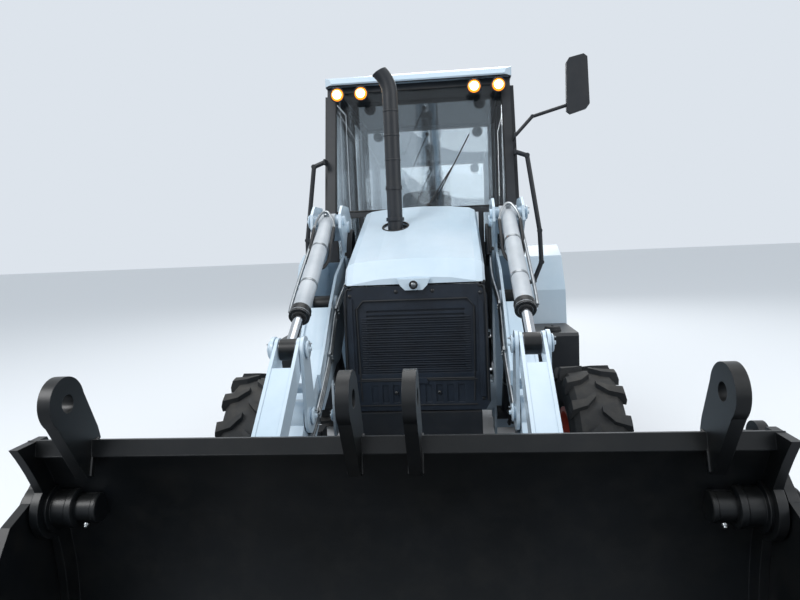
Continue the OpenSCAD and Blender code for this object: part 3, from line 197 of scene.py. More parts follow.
@dataclass(frozen=True)
class Finish:
    """A surface: its colour, gloss, grain, dirt and wear."""

    name: str
    slot: str
    colour: str
    second: str
    rough: float
    metal: float = 0.0
    ior: float = 1.5
    coat: float = 0.0
    # Width of the colour's soft clouds, and of the surface's grain, in millimetres
    cloud_mm: float = 400.0
    grain_mm: float = 2.0
    bump_mm: float = 0.05
    # Share of dust, and the colour that shows on worn edges
    dust: float = 0.0
    wear: str = ""
    edge_mm: float = 0.0

    def build(self) -> bpy.types.Material:
        """Makes the finish's procedural material.

        Returns:
            The material, with its surface joined to its output.
        """
        material = bpy.data.materials.new(self.name)
        tree = emptied(material)
        place = add_node(tree, "TexCoord", "Object")
        add_node(tree, "OutputMaterial", None, {"Surface": self.surface(tree, place)})
        return material

    def surface(self, tree: Tree, place: Socket) -> Socket:
        """Paint, plastic, rubber or plate: clouded, grained, dusted and worn.

        Args:
            tree: The material's tree.
            place: The object's own coordinates.

        Returns:
            The surface's socket.
        """
        cloud = add_node(tree, "TexNoise", "Fac", {
            "Vector": place, "Scale": 1000 / self.cloud_mm, "Detail": 6.0, "Roughness": 0.6})
        grain = add_node(tree, "TexNoise", "Fac", {
            "Vector": place, "Scale": 1000 / self.grain_mm, "Detail": 2.0})
        spread = add_node(tree, "MapRange", "Result", {
            "Value": cloud, "From Min": 0.35, "From Max": 0.65})
        colour = add_node(tree, "Mix", 2, {
            0: spread, 6: linear(self.colour), 7: linear(self.second)}, data_type="RGBA")
        rough = add_node(tree, "MapRange", "Result", {
            "Value": cloud, "To Min": self.rough * 0.82, "To Max": min(1.0, self.rough * 1.2)})
        if self.dust > 0:
            colour, rough = self.dusted(tree, place, grain, colour, rough)
        relief = {"Height": grain, "Strength": 0.6, "Distance": self.bump_mm / 1000}
        if self.edge_mm > 0:
            relief["Normal"] = add_node(
                tree, "Bevel", "Normal", {"Radius": self.edge_mm / 1000}, samples=4)
            if self.wear:
                colour = self.worn(tree, relief["Normal"], grain, cloud, colour)
        return add_node(tree, "BsdfPrincipled", "BSDF", {
            "Base Color": colour, "Roughness": rough, "Metallic": self.metal, "IOR": self.ior,
            "Coat Weight": self.coat, "Coat Roughness": 0.08,
            "Normal": add_node(tree, "Bump", "Normal", relief)})

    def dusted(
        self, tree: Tree, place: Socket, grain: Socket, colour: Socket, rough: Socket
    ) -> tuple[Socket, Socket]:
        """Lays road dust on upper faces and specks of grit everywhere.

        Args:
            tree: The material's tree.
            place: The object's own coordinates.
            grain: The fine noise, which breaks the dust up.
            colour: The clean colour.
            rough: The clean roughness.

        Returns:
            The dusted colour and roughness.
        """
        normal = add_node(tree, "NewGeometry", "Normal")
        patch = add_node(tree, "TexNoise", "Fac", {
            "Vector": place, "Scale": 9.0, "Detail": 8.0, "Roughness": 0.7})
        # Lying dust, a film in patches, and grit: 1 mm and finer, drawn wider so that it shows
        lying, film, speck = (
            add_node(tree, "MapRange", "Result", {
                "Value": value, "From Min": low, "From Max": high, "To Max": most})
            for value, low, high, most in (
                (add_node(tree, "SeparateXYZ", "Z", {0: normal}), 0.3, 1.0, self.dust),
                (patch, 0.45, 0.75, self.dust * 0.5),
                (grain, 0.7, 0.74, self.dust),
            )
        )
        laid = add_node(tree, "Math", 0, {0: lying, 1: patch}, operation="MULTIPLY")
        laid = add_node(tree, "Math", 0, {0: laid, 1: film}, operation="ADD")
        laid = add_node(tree, "Math", 0, {0: laid, 1: speck}, operation="ADD", use_clamp=True)
        return (
            add_node(tree, "Mix", 2, {0: laid, 6: colour, 7: linear("8a8275")}, data_type="RGBA"),
            add_node(tree, "Mix", 0, {0: laid, 2: rough, 3: 0.9}, data_type="FLOAT"),
        )

    def worn(
        self, tree: Tree, rounded: Socket, grain: Socket, cloud: Socket, colour: Socket
    ) -> Socket:
        """Rubs the paint through along sharp edges.

        Args:
            tree: The material's tree.
            rounded: The normal with its edges rounded.
            grain: The fine noise.
            cloud: The broad noise, which leaves some edges whole.
            colour: The paint's colour.

        Returns:
            The colour with its worn edges.
        """
        flat = add_node(tree, "NewGeometry", "Normal")
        same = add_node(
            tree, "VectorMath", "Value", {0: rounded, 1: flat}, operation="DOT_PRODUCT")
        edge = add_node(tree, "MapRange", "Result", {
            "Value": same, "From Min": 0.985, "From Max": 0.9})
        for broken_by in (grain, cloud):
            edge = add_node(tree, "Math", 0, {0: edge, 1: broken_by}, operation="MULTIPLY")
        mask = add_node(tree, "MapRange", "Result", {
            "Value": edge, "From Min": 0.22, "From Max": 0.34})
        return add_node(
            tree, "Mix", 2, {0: mask, 6: colour, 7: linear(self.wear)}, data_type="RGBA")


@dataclass(frozen=True)
class Glass(Finish):
    """Tinted float glass: clear with a faint green body colour and a hard reflection."""

    def surface(self, tree: Tree, place: Socket) -> Socket:
        """Clear glass that shows the cab behind it.

        Args:
            tree: The material's tree.
            place: The object's own coordinates.

        Returns:
            The surface's socket.
        """
        # Dried rain leaves a haze of drops about 60 mm apart
        haze = add_node(tree, "TexNoise", "Fac", {
            "Vector": place, "Scale": 1000 / self.cloud_mm, "Detail": 6.0, "Roughness": 0.7})
        rough = add_node(tree, "MapRange", "Result", {
            "Value": haze, "From Min": 0.45, "From Max": 0.8, "To Min": self.rough,
            "To Max": self.rough + 0.06})
        pane = add_node(tree, "BsdfPrincipled", "BSDF", {
            "Base Color": linear(self.colour), "Roughness": rough, "IOR": self.ior,
            "Transmission Weight": 1.0})
        # A thin pane passes light straight on, so a third of it is left unbent
        clear = add_node(tree, "BsdfTransparent", "BSDF", {"Color": linear(self.second)})
        return add_node(tree, "MixShader", "Shader", {0: 0.35, 1: pane, 2: clear})


@dataclass(frozen=True)
class Lens(Finish):
    """Moulded polycarbonate over a lamp, ribbed inside and lit from behind."""

    glow: float = 0.0
    rib_mm: float = 6.0

    def surface(self, tree: Tree, place: Socket) -> Socket:
        """A ribbed, coloured and lit lens.

        Args:
            tree: The material's tree.
            place: The object's own coordinates.

        Returns:
            The surface's socket.
        """
        ribs = add_node(tree, "TexVoronoi", "Distance", {
            "Vector": place, "Scale": 1000 / self.rib_mm})
        normal = add_node(tree, "Bump", "Normal", {
            "Height": ribs, "Strength": 0.5, "Distance": 0.002})
        return add_node(tree, "BsdfPrincipled", "BSDF", {
            "Base Color": linear(self.colour), "Roughness": self.rough, "IOR": self.ior,
            "Coat Weight": self.coat, "Emission Color": linear(self.second),
            "Emission Strength": self.glow, "Normal": normal})


@dataclass(frozen=True)
class Rod(Finish):
    """Hard chrome on a ground rod: bright, with fine rings left by the grinding."""

    ring_mm: float = 3.0

    def surface(self, tree: Tree, place: Socket) -> Socket:
        """Ground and plated steel.

        Args:
            tree: The material's tree.
            place: The object's own coordinates.

        Returns:
            The surface's socket.
        """
        film = add_node(tree, "TexNoise", "Fac", {
            "Vector": place, "Scale": 1000 / self.cloud_mm, "Detail": 6.0})
        # Grinding marks are some 0.1 mm apart; they are drawn 3 mm apart so that they show
        rings = add_node(tree, "TexNoise", "Fac", {
            "Vector": place, "Scale": 1000 / self.ring_mm, "Detail": 1.0})
        rough = add_node(tree, "MapRange", "Result", {
            "Value": film, "To Min": self.rough * 0.6, "To Max": self.rough * 1.6})
        colour = add_node(tree, "Mix", 2, {
            0: film, 6: linear(self.colour), 7: linear(self.second)}, data_type="RGBA")
        normal = add_node(tree, "Bump", "Normal", {
            "Height": rings, "Strength": 0.2, "Distance": self.bump_mm / 1000})
        return add_node(tree, "BsdfPrincipled", "BSDF", {
            "Base Color": colour, "Metallic": 1.0, "Roughness": rough, "Normal": normal})


@dataclass(frozen=True)
class Cloth(Finish):
    """Woven seat cloth: crossed threads, with a soft sheen at the edges."""

    thread_mm: float = 8 * math.pi

    def surface(self, tree: Tree, place: Socket) -> Socket:
        """A plain weave.

        Args:
            tree: The material's tree.
            place: The object's own coordinates.

        Returns:
            The surface's socket.
        """
        # Threads are 1 mm; they are drawn some 25 mm apart so that the weave shows. The wave
        # turns by 20 radians in one unit of its scaled place
        across, along = (
            add_node(tree, "TexWave", "Fac", {
                "Vector": place, "Scale": math.tau / 20 * 1000 / self.thread_mm, "Distortion": 0.6,
            }, bands_direction=way)
            for way in ("X", "DIAGONAL")
        )
        weave = add_node(tree, "Math", 0, {0: across, 1: along}, operation="MULTIPLY")
        colour = add_node(tree, "Mix", 2, {
            0: weave, 6: linear(self.colour), 7: linear(self.second)}, data_type="RGBA")
        normal = add_node(tree, "Bump", "Normal", {
            "Height": weave, "Strength": 0.7, "Distance": self.bump_mm / 1000})
        return add_node(tree, "BsdfPrincipled", "BSDF", {
            "Base Color": colour, "Roughness": self.rough, "Sheen Weight": 0.4,
            "Sheen Roughness": 0.5, "Normal": normal})


# Pale acrylic enamel, sprayed on steel: glossy, with a faint orange peel. Its blue cast is painted
# skylight, the blue that the sky throws on white paint in shade, mixed into the paint's own white
WHITE = Finish(
    "white_enamel", "white_paint", "d2e2ee", "c2d7e6", 0.22, coat=0.5, cloud_mm=600,
    grain_mm=3.0, bump_mm=0.03, dust=0.07, edge_mm=4.0,
)
# Black powder coat on the buckets: satin, dusty on top and rubbed at the edges
BLACK = Finish(
    "black_powder_coat", "black_paint", "05080a", "090d11", 0.36, cloud_mm=350,
    grain_mm=3.0, bump_mm=0.08, dust=0.05, wear="34383c", edge_mm=3.0,
)
# Charcoal paint on the frame and most rams: satin and even
CHARCOAL = Finish(
    "charcoal_paint", "charcoal_paint", "1a1e23", "22262c", 0.42, cloud_mm=300,
    grain_mm=2.5, bump_mm=0.05, dust=0.08, edge_mm=3.0,
)
# Silver-grey paint on the tipping rams: cool and satin
GREY = Finish(
    "grey_paint", "grey_paint", "c0c6cb", "aab1b7", 0.32, cloud_mm=200, grain_mm=3.0,
    bump_mm=0.06, dust=0.05, edge_mm=3.0,
)
# Polypropylene, moulded and grained: dark, dry and slightly blue
GRILLE = Finish(
    "moulded_polypropylene", "grille_plastic", "1a212b", "222b37", 0.38, cloud_mm=150,
    grain_mm=2.0, bump_mm=0.12, dust=0.06, edge_mm=2.0,
)
# ABS, moulded and polished: lamp bodies, wiper arms, pedals and screws, dark with a soft shine
LAMP_BODY = Finish(
    "polished_abs", "lamp_plastic", "15171a", "1b1e22", 0.28, cloud_mm=120, grain_mm=2.0,
    bump_mm=0.03, dust=0.08, edge_mm=2.0,
)
# ABS, moulded with a leather grain: the cab's trim, dull and dark
TRIM = Finish(
    "grained_abs", "cab_plastic", "1c1e21", "25282c", 0.6, cloud_mm=200, grain_mm=2.5,
    bump_mm=0.25, dust=0.05, edge_mm=2.0,
)
# Cast iron, painted once and hot since: dull grey with a sandy skin
CAST = Finish(
    "cast_iron", "cast_block", "4b4f52", "5c6063", 0.62, metal=0.3, cloud_mm=120,
    grain_mm=4.0, bump_mm=0.5, dust=0.2, edge_mm=3.0,
)
# Orange enamel on pressed rims: glossy, dusty on top
ORANGE = Finish(
    "orange_enamel", "rim_orange", "d8451c", "c93c17", 0.3, coat=0.4, cloud_mm=250,
    grain_mm=3.0, bump_mm=0.04, dust=0.18, edge_mm=3.0,
)
# Natural and synthetic rubber, moulded: dull, grey with dust, a fine pebble grain
RUBBER = Finish(
    "moulded_rubber", "tyre_rubber", "1a1c1f", "272a2d", 0.78, cloud_mm=120, grain_mm=3.0,
    bump_mm=0.4, dust=0.18, edge_mm=4.0,
)
# Nitrile hose cover: black, smooth and slightly oily
HOSE = Finish(
    "nitrile_hose", "black_paint", "131416", "1c1d20", 0.46, cloud_mm=90, grain_mm=2.0,
    bump_mm=0.1, dust=0.05,
)
# Zinc-plated steel: bolts and fittings, pale grey with a dull shine
ZINC = Finish(
    "plated_zinc", "rod_chrome", "a9adb0", "8f9497", 0.34, metal=1.0, cloud_mm=40,
    grain_mm=1.5, bump_mm=0.05,
)
# Worn bare steel: cutting edges, scraped bright in streaks
BARE = Finish(
    "scraped_steel", "black_paint", "3a3c3f", "6a6c6e", 0.4, metal=0.9, cloud_mm=70,
    grain_mm=3.0, bump_mm=0.3, dust=0.15, edge_mm=2.0,
)
# Silvered glass: the mirror's face, which shows what stands before it
MIRROR = Finish(
    "silvered_glass", "cab_glass", "c9d0d4", "bfc6ca", 0.05, metal=1.0, cloud_mm=500,
    grain_mm=50.0, bump_mm=0.0,
)
# Cab glass: nearly clear, a little green where it is seen through twice
GLASS = Glass("tinted_glass", "cab_glass", "dde4e8", "e9eef1", 0.02, ior=1.45, cloud_mm=60)
# Plated rods: bright, with a soft band where the light runs along them
CHROME = Rod("hard_chrome", "rod_chrome", "c9ccd0", "b4b8bd", 0.14, cloud_mm=90, bump_mm=0.02)
# Seat cloth: nearly black, with a woven relief
CLOTH = Cloth("woven_polyester", "seat_fabric", "1a1b1e", "2d2f33", 0.9, bump_mm=0.8)
# Lenses: warm light behind the front lamps, its bright middle, red and clear ones behind
AMBER = Lens("lit_amber_lens", "lamp_plastic", "ff9326", "ff8a1c", 0.2, coat=0.6, glow=1.6)
HOT = Lens("lit_bulb", "lamp_plastic", "ffe9b8", "fff0c4", 0.2, glow=9.0)
RED = Lens("red_lens", "lamp_plastic", "a3151a", "a3151a", 0.16, coat=0.6)
CLEAR = Lens("clear_lens", "lamp_plastic", "c8cdd0", "000000", 0.12, coat=0.8, rib_mm=9.0)
UNLIT = Lens("amber_lens", "lamp_plastic", "d9741a", "000000", 0.16, coat=0.6)


class Shape:
    """A mesh that is put together from turned, bent and cut forms, in the model's frame."""

    def __init__(self) -> None:
        """Starts empty."""
        self.mesh = bmesh.new()

    def ring(self, centre: Vector, u: Vector, v: Vector, radius: float, count: int) -> list:
        """Adds the points of one circle.

        Args:
            centre: Its middle.
            u: Where its first point lies.
            v: Where it turns to.
            radius: Its radius in metres.
            count: How many points it has.

        Returns:
            The new points.
        """
        turn = 2 * math.pi / count
        return [
            self.mesh.verts.new(
                centre + u * (radius * math.cos(i * turn)) + v * (radius * math.sin(i * turn))
            )
            for i in range(count)
        ]

    def join(self, rows: Sequence[list], caps: bool = True) -> None:
        """Skins rows of points that each close on themselves.

        Args:
            rows: Rows of equal length, in order.
            caps: Whether the first and last row are filled.
        """
        for a, b in zip(rows, rows[1:]):
            for i in range(len(a)):
                j = (i + 1) % len(a)
                self.mesh.faces.new((a[i], a[j], b[j], b[i]))
        if caps:
            self.mesh.faces.new(rows[0][::-1])
            self.mesh.faces.new(rows[-1])

    def turned(
        self, base: Vector, axis: Vector, section: Pairs, count: int = 24, hollow: bool = False
    ) -> "Shape":
        """Adds a turned form.

        Args:
            base: Where its axis starts.
            axis: The axis's direction.
            section: Pairs of millimetres along the axis and radius.
            count: Facets round it.
            hollow: Whether the section closes on itself, as a ring's does.

        Returns:
            The shape itself.
        """
        w = axis.normalized()
        u = w.orthogonal().normalized()
        v = w.cross(u)
        # A point on the axis is drawn as a circle too small to see
        rows = [
            self.ring(base + w * (s / 1000), u, v, max(r, 0.05) / 1000, count)
            for s, r in section
        ]
        self.join(loop(rows) if hollow else rows, caps=not hollow)
        return self

    def bolt(self, base: Vector, axis: Vector, across: float, high: float) -> "Shape":
        """Adds a hexagon head on its washer.

        Args:
            base: The middle of the washer's underside.
            axis: The way that the head points.
            across: The head's width over its flats, in millimetres.
            high: The head's height, in millimetres.

        Returns:
            The shape itself.
        """
        r, washer = across / math.sqrt(3), high * 0.22
        self.turned(base, axis, [(0, r * 1.35), (washer, r * 1.35)], 18)
        return self.turned(
            base + axis.normalized() * (washer / 1000), axis,
            [(0, r), (high * 0.7, r), (high * 0.85, r * 0.82)], 6,
        )

    def tube(self, path: Sequence[Vector], radius: float, count: int = 10) -> "Shape":
        """Adds a round tube along a line of points.

        Args:
            path: The points its middle follows.
            radius: Its radius in millimetres.
            count: Facets round it.

        Returns:
            The shape itself.
        """
        u = (path[1] - path[0]).orthogonal().normalized()
        rows = []
        for i, point in enumerate(path):
            along = (path[min(i + 1, len(path) - 1)] - path[max(i - 1, 0)]).normalized()
            u = (u - along * u.dot(along)).normalized()
            rows.append(self.ring(point, u, along.cross(u), radius / 1000, count))
        self.join(rows)
        return self

    def plate(self, outline: Sequence[Vector], push: Vector, round_mm: float = 0.0) -> "Shape":
        """Adds a flat plate.

        Args:
            outline: Its corners, in order.
            push: Its thickness, as a vector in metres.
            round_mm: How far its edges are rounded.

        Returns:
            The shape itself.
        """
        low = [self.mesh.verts.new(p) for p in outline]
        high = [self.mesh.verts.new(p + push) for p in outline]
        before = set(self.mesh.edges)
        self.join([low, high])
        if round_mm > 0:
            fresh = [e for e in self.mesh.edges if e not in before]
            bmesh.ops.bevel(
                self.mesh, geom=fresh, offset=round_mm / 1000, segments=2, affect="EDGES",
                clamp_overlap=True,
            )
        return self

    def block(self, corner: Vector, opposite: Vector, round_mm: float = 0.0) -> "Shape":
        """Adds a block with rounded edges.

        Args:
            corner: One of its corners.
            opposite: The corner across from it.
            round_mm: How far its edges are rounded.

        Returns:
            The shape itself.
        """
        (x0, x1), (y0, y1), (z0, z1) = (sorted(pair) for pair in zip(corner, opposite))
        outline = [Vector((x, y, z0)) for x, y in oblong(x0, x1, y0, y1)]
        return self.plate(outline, Z * (z1 - z0), round_mm)


class Workshop:
    """Holds the finishes' materials and makes pieces from them."""

    def __init__(self) -> None:
        """Starts with no finishes made."""
        self.made: dict[str, bpy.types.Material] = {}

    def material(self, finish: Finish) -> bpy.types.Material:
        """Finds the finish's material, which is made once.

        Args:
            finish: The finish.

        Returns:
            Its material.
        """
        if finish.name not in self.made:
            self.made[finish.name] = finish.build()
        return self.made[finish.name]

    def dress(self, node: str, finish: Finish) -> None:
        """Gives a CAD node its finish.

        Args:
            node: The node's name.
            finish: What it is finished with.
        """
        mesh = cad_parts[node].data
        mesh.materials.clear()
        mesh.materials.append(self.material(finish))

    def piece(
        self, name: str, finish: Finish, shape: Shape, body: str | None = "chassis",
        smooth: bool = True,
    ) -> bpy.types.Object:
        """Turns a shape into a piece that rides on a body.

        Args:
            name: The piece's plain name.
            finish: What it is finished with.
            shape: Its shape, which is used up.
            body: The CAD body it moves with, or None for one that rides on no body.
            smooth: Whether shallow edges are shaded round.

        Returns:
            The new object.
        """
        mesh = shape.mesh
        bmesh.ops.remove_doubles(mesh, verts=mesh.verts, dist=MERGE_M)
        bmesh.ops.recalc_face_normals(mesh, faces=mesh.faces)
        data = bpy.data.meshes.new(name)
        mesh.to_mesh(data)
        mesh.free()
        if smooth:
            data.shade_smooth()
            data.set_sharp_from_angle(angle=math.radians(SMOOTH_DEG))
        data.materials.append(self.material(finish))
        made = bpy.data.objects.new(name, data)
        bpy.context.scene.collection.objects.link(made)
        if body is not None:
            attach(made, body)
        log.info("%s on %s: %d faces", name, body, len(data.polygons))
        return made


@dataclass
class Assembly:
    """A sub-assembly, whose small pieces are made in a workshop."""

    shop: Workshop


@dataclass
class GrilleTrim(Assembly):
    """The ribbed screen, beads and screws on the front panel."""

    face_y: float = -226.0
    field_x: float = 300.0
    field_z: tuple[float, float] = (1010.0, 1330.0)
    rib_step: float = 13.0
    rib_high: float = 5.0

    def build(self) -> None:
        """Lays ribs between the air slots, frames their field and screws the panel on."""
        ribs, beads, screws = Shape(), Shape(), Shape()
        low, high = self.field_z
        for i in range(int((high - low + 10) / self.rib_step)):
            z = low + i * self.rib_step
            rib = at_y(self.face_y + 9, oblong(-self.field_x, self.field_x, z, z + self.rib_high))
            ribs.plate(rib, Y * -0.007, 1.0)
        y = self.face_y - 2
        field = [(-316, 985), (316, 985), (322, 1380), (286, 1424), (-286, 1424), (-322, 1380)]
        beads.tube(loop(at_y(y + 2, field)), 5, 8)
        for s in Side:
            beads.tube(smoothed(at_y(y, ((s * 388, 860), (s * 383, 1432), (s * 346, 1492))), 4),
                       6, 8)
            beads.tube(at_y(y, ((s * 312, 860), (s * 316, 968))), 4, 8)
        for bottom in (832, 972):
            beads.plate(at_y(y + 3, oblong(-330, 330, bottom, bottom + 8)), Y * -0.006, 2.0)
        for x, z in ((362, 868), (358, 1452), (120, 905), (100, 1470)):
            for s in Side:
                screws.turned(at(s * x, self.face_y + 1, z), -Y,
                              [(0, 11), (3, 10.5), (6, 7), (7, 3), (6.2, 2.6)], 16)
        self.shop.piece("grille_ribs", GRILLE, ribs)
        self.shop.piece("grille_beads", TRIM, beads)
        self.shop.piece("grille_screws", LAMP_BODY, screws)


@dataclass
class HoodTrim(Assembly):
    """Seals and latch on the hood, and the rings on the exhaust pipe."""

    seal_x: float = 380.0
    pipe: tuple[float, float] = (-141.0, 353.0)
    pipe_r: float = 48.0
    hole_r: float = 82.0
    # Station and height of two points on the hood's top
    crest: tuple[tuple[float, float], ...] = ((-151, 1634), (717, 1961))

    def build(self) -> None:
        """Adds the hood's trim and the exhaust's rings."""
        latch = Shape().turned(
            at(0, -261, 1508), -Y, [(0, 24), (5, 24), (8, 21), (8, 15), (5, 14), (5, 0)], 32
        )
        self.shop.piece("hood_latch_ring", LAMP_BODY, latch, "hood")
        lock = Shape().turned(at(0, -264, 1508), -Y, [(0, 13), (5, 12.5), (6.5, 10), (6.5, 0)], 24)
        self.shop.piece("hood_latch", ZINC, lock, "hood")
        self.seals()
        self.rings()

    def seals(self) -> None:
        """Runs a rubber seal under the hood's sides and round the pipe's hole."""
        sides = Shape()
        for s in Side:
            edge = ((-228, 1512), (-150, 1513), (280, 1536), (700, 1558))
            sides.tube(at_x(s * self.seal_x, edge), 7, 8)
        self.shop.piece("hood_seals", RUBBER, sides, "hood")
        (cx, cy), line = self.pipe, []
        (y0, z0), (y1, z1) = self.crest
        slope = (z1 - z0) / (y1 - y0)
        for i in range(33):
            turn = 2 * math.pi * i / 32
            x, y = cx + self.hole_r * math.cos(turn), cy + 8 + self.hole_r * math.sin(turn)
            # The hood is highest along its middle and falls away to the sides
            crown = 18 - abs(x) * 0.03
            line.append(at(x, y, z0 + (y - y0) * slope + crown))
        self.shop.piece("exhaust_hole_seal", RUBBER, Shape().tube(line, 6, 8), "hood")

    def rings(self) -> None:
        """Clamps a band round the pipe, with its bolt, and raises three swages above it."""
        (x, y), r = self.pipe, self.pipe_r
        band, swages = Shape(), Shape()
        band.turned(at(x, y, 2070), Z, [(0, r + 5), (26, r + 5), (26, r - 1), (0, r - 1)], 40, True)
        band.block(at(x - 12, y + 48, 2073), at(x + 12, y + 74, 2093), 2.0)
        band.bolt(at(x + 12, y + 64, 2083), X, 13, 8)
        self.shop.piece("exhaust_band", CHARCOAL, band)
        for z in (2250, 2400, 2550):
            swages.turned(
                at(x, y, z), Z,
                [(0, r + 0.2), (3, r + 3), (9, r + 3), (12, r + 0.2), (12, r - 1), (0, r - 1)],
                40, True,
            )
        self.shop.piece("exhaust_swages", CHARCOAL, swages)


@dataclass
class Lamps(Assembly):
    """Lenses and bulbs of the work lamps under the roof's edge."""

    front_x: tuple[float, float] = (406.0, 578.0)
    front_y: float = 929.0
    rear_x: float = 500.0
    rear_y: float = 2726.0
    height: float = 2818.0
    radius: float = 50.0

    def build(self) -> None:
        """Adds each lamp's lens, bulb and rim."""
        glow, bulbs, plain, rims = Shape(), Shape(), Shape(), Shape()
        for s in Side:
            for x in self.front_x:
                self.lamp(at(s * x, self.front_y, self.height), -Y, glow, bulbs, rims)
        for s in Side:
            self.lamp(at(s * self.rear_x, self.rear_y, self.height), Y, plain, plain, rims)
        self.shop.piece("front_lamp_lenses", AMBER, glow)
        self.shop.piece("front_lamp_bulbs", HOT, bulbs)
        self.shop.piece("rear_lamp_lenses", CLEAR, plain)
        self.shop.piece("lamp_rims", LAMP_BODY, rims)

    def lamp(self, base: Vector, axis: Vector, lens: Shape, bulb: Shape, rim: Shape) -> None:
        """Shapes one lamp's face.

        Args:
            base: The middle of the lamp's face.
            axis: The way it shines.
            lens: Takes the domed lens.
            bulb: Takes the bright middle.
            rim: Takes the raised ring.
        """
        r = self.radius
        lens.turned(base, axis, [(0, r - 6), (6, r - 8), (10, r - 18), (12, r - 34)], 32)
        bulb.turned(base + axis * 0.0122, axis, [(0, 30), (2, 25), (3.5, 9)], 24)
        rim.turned(
            base - axis * 0.002, axis, [(0, r + 3), (8, r + 3), (11, r), (11, r - 4), (0, r - 6)],
            36, True,
        )


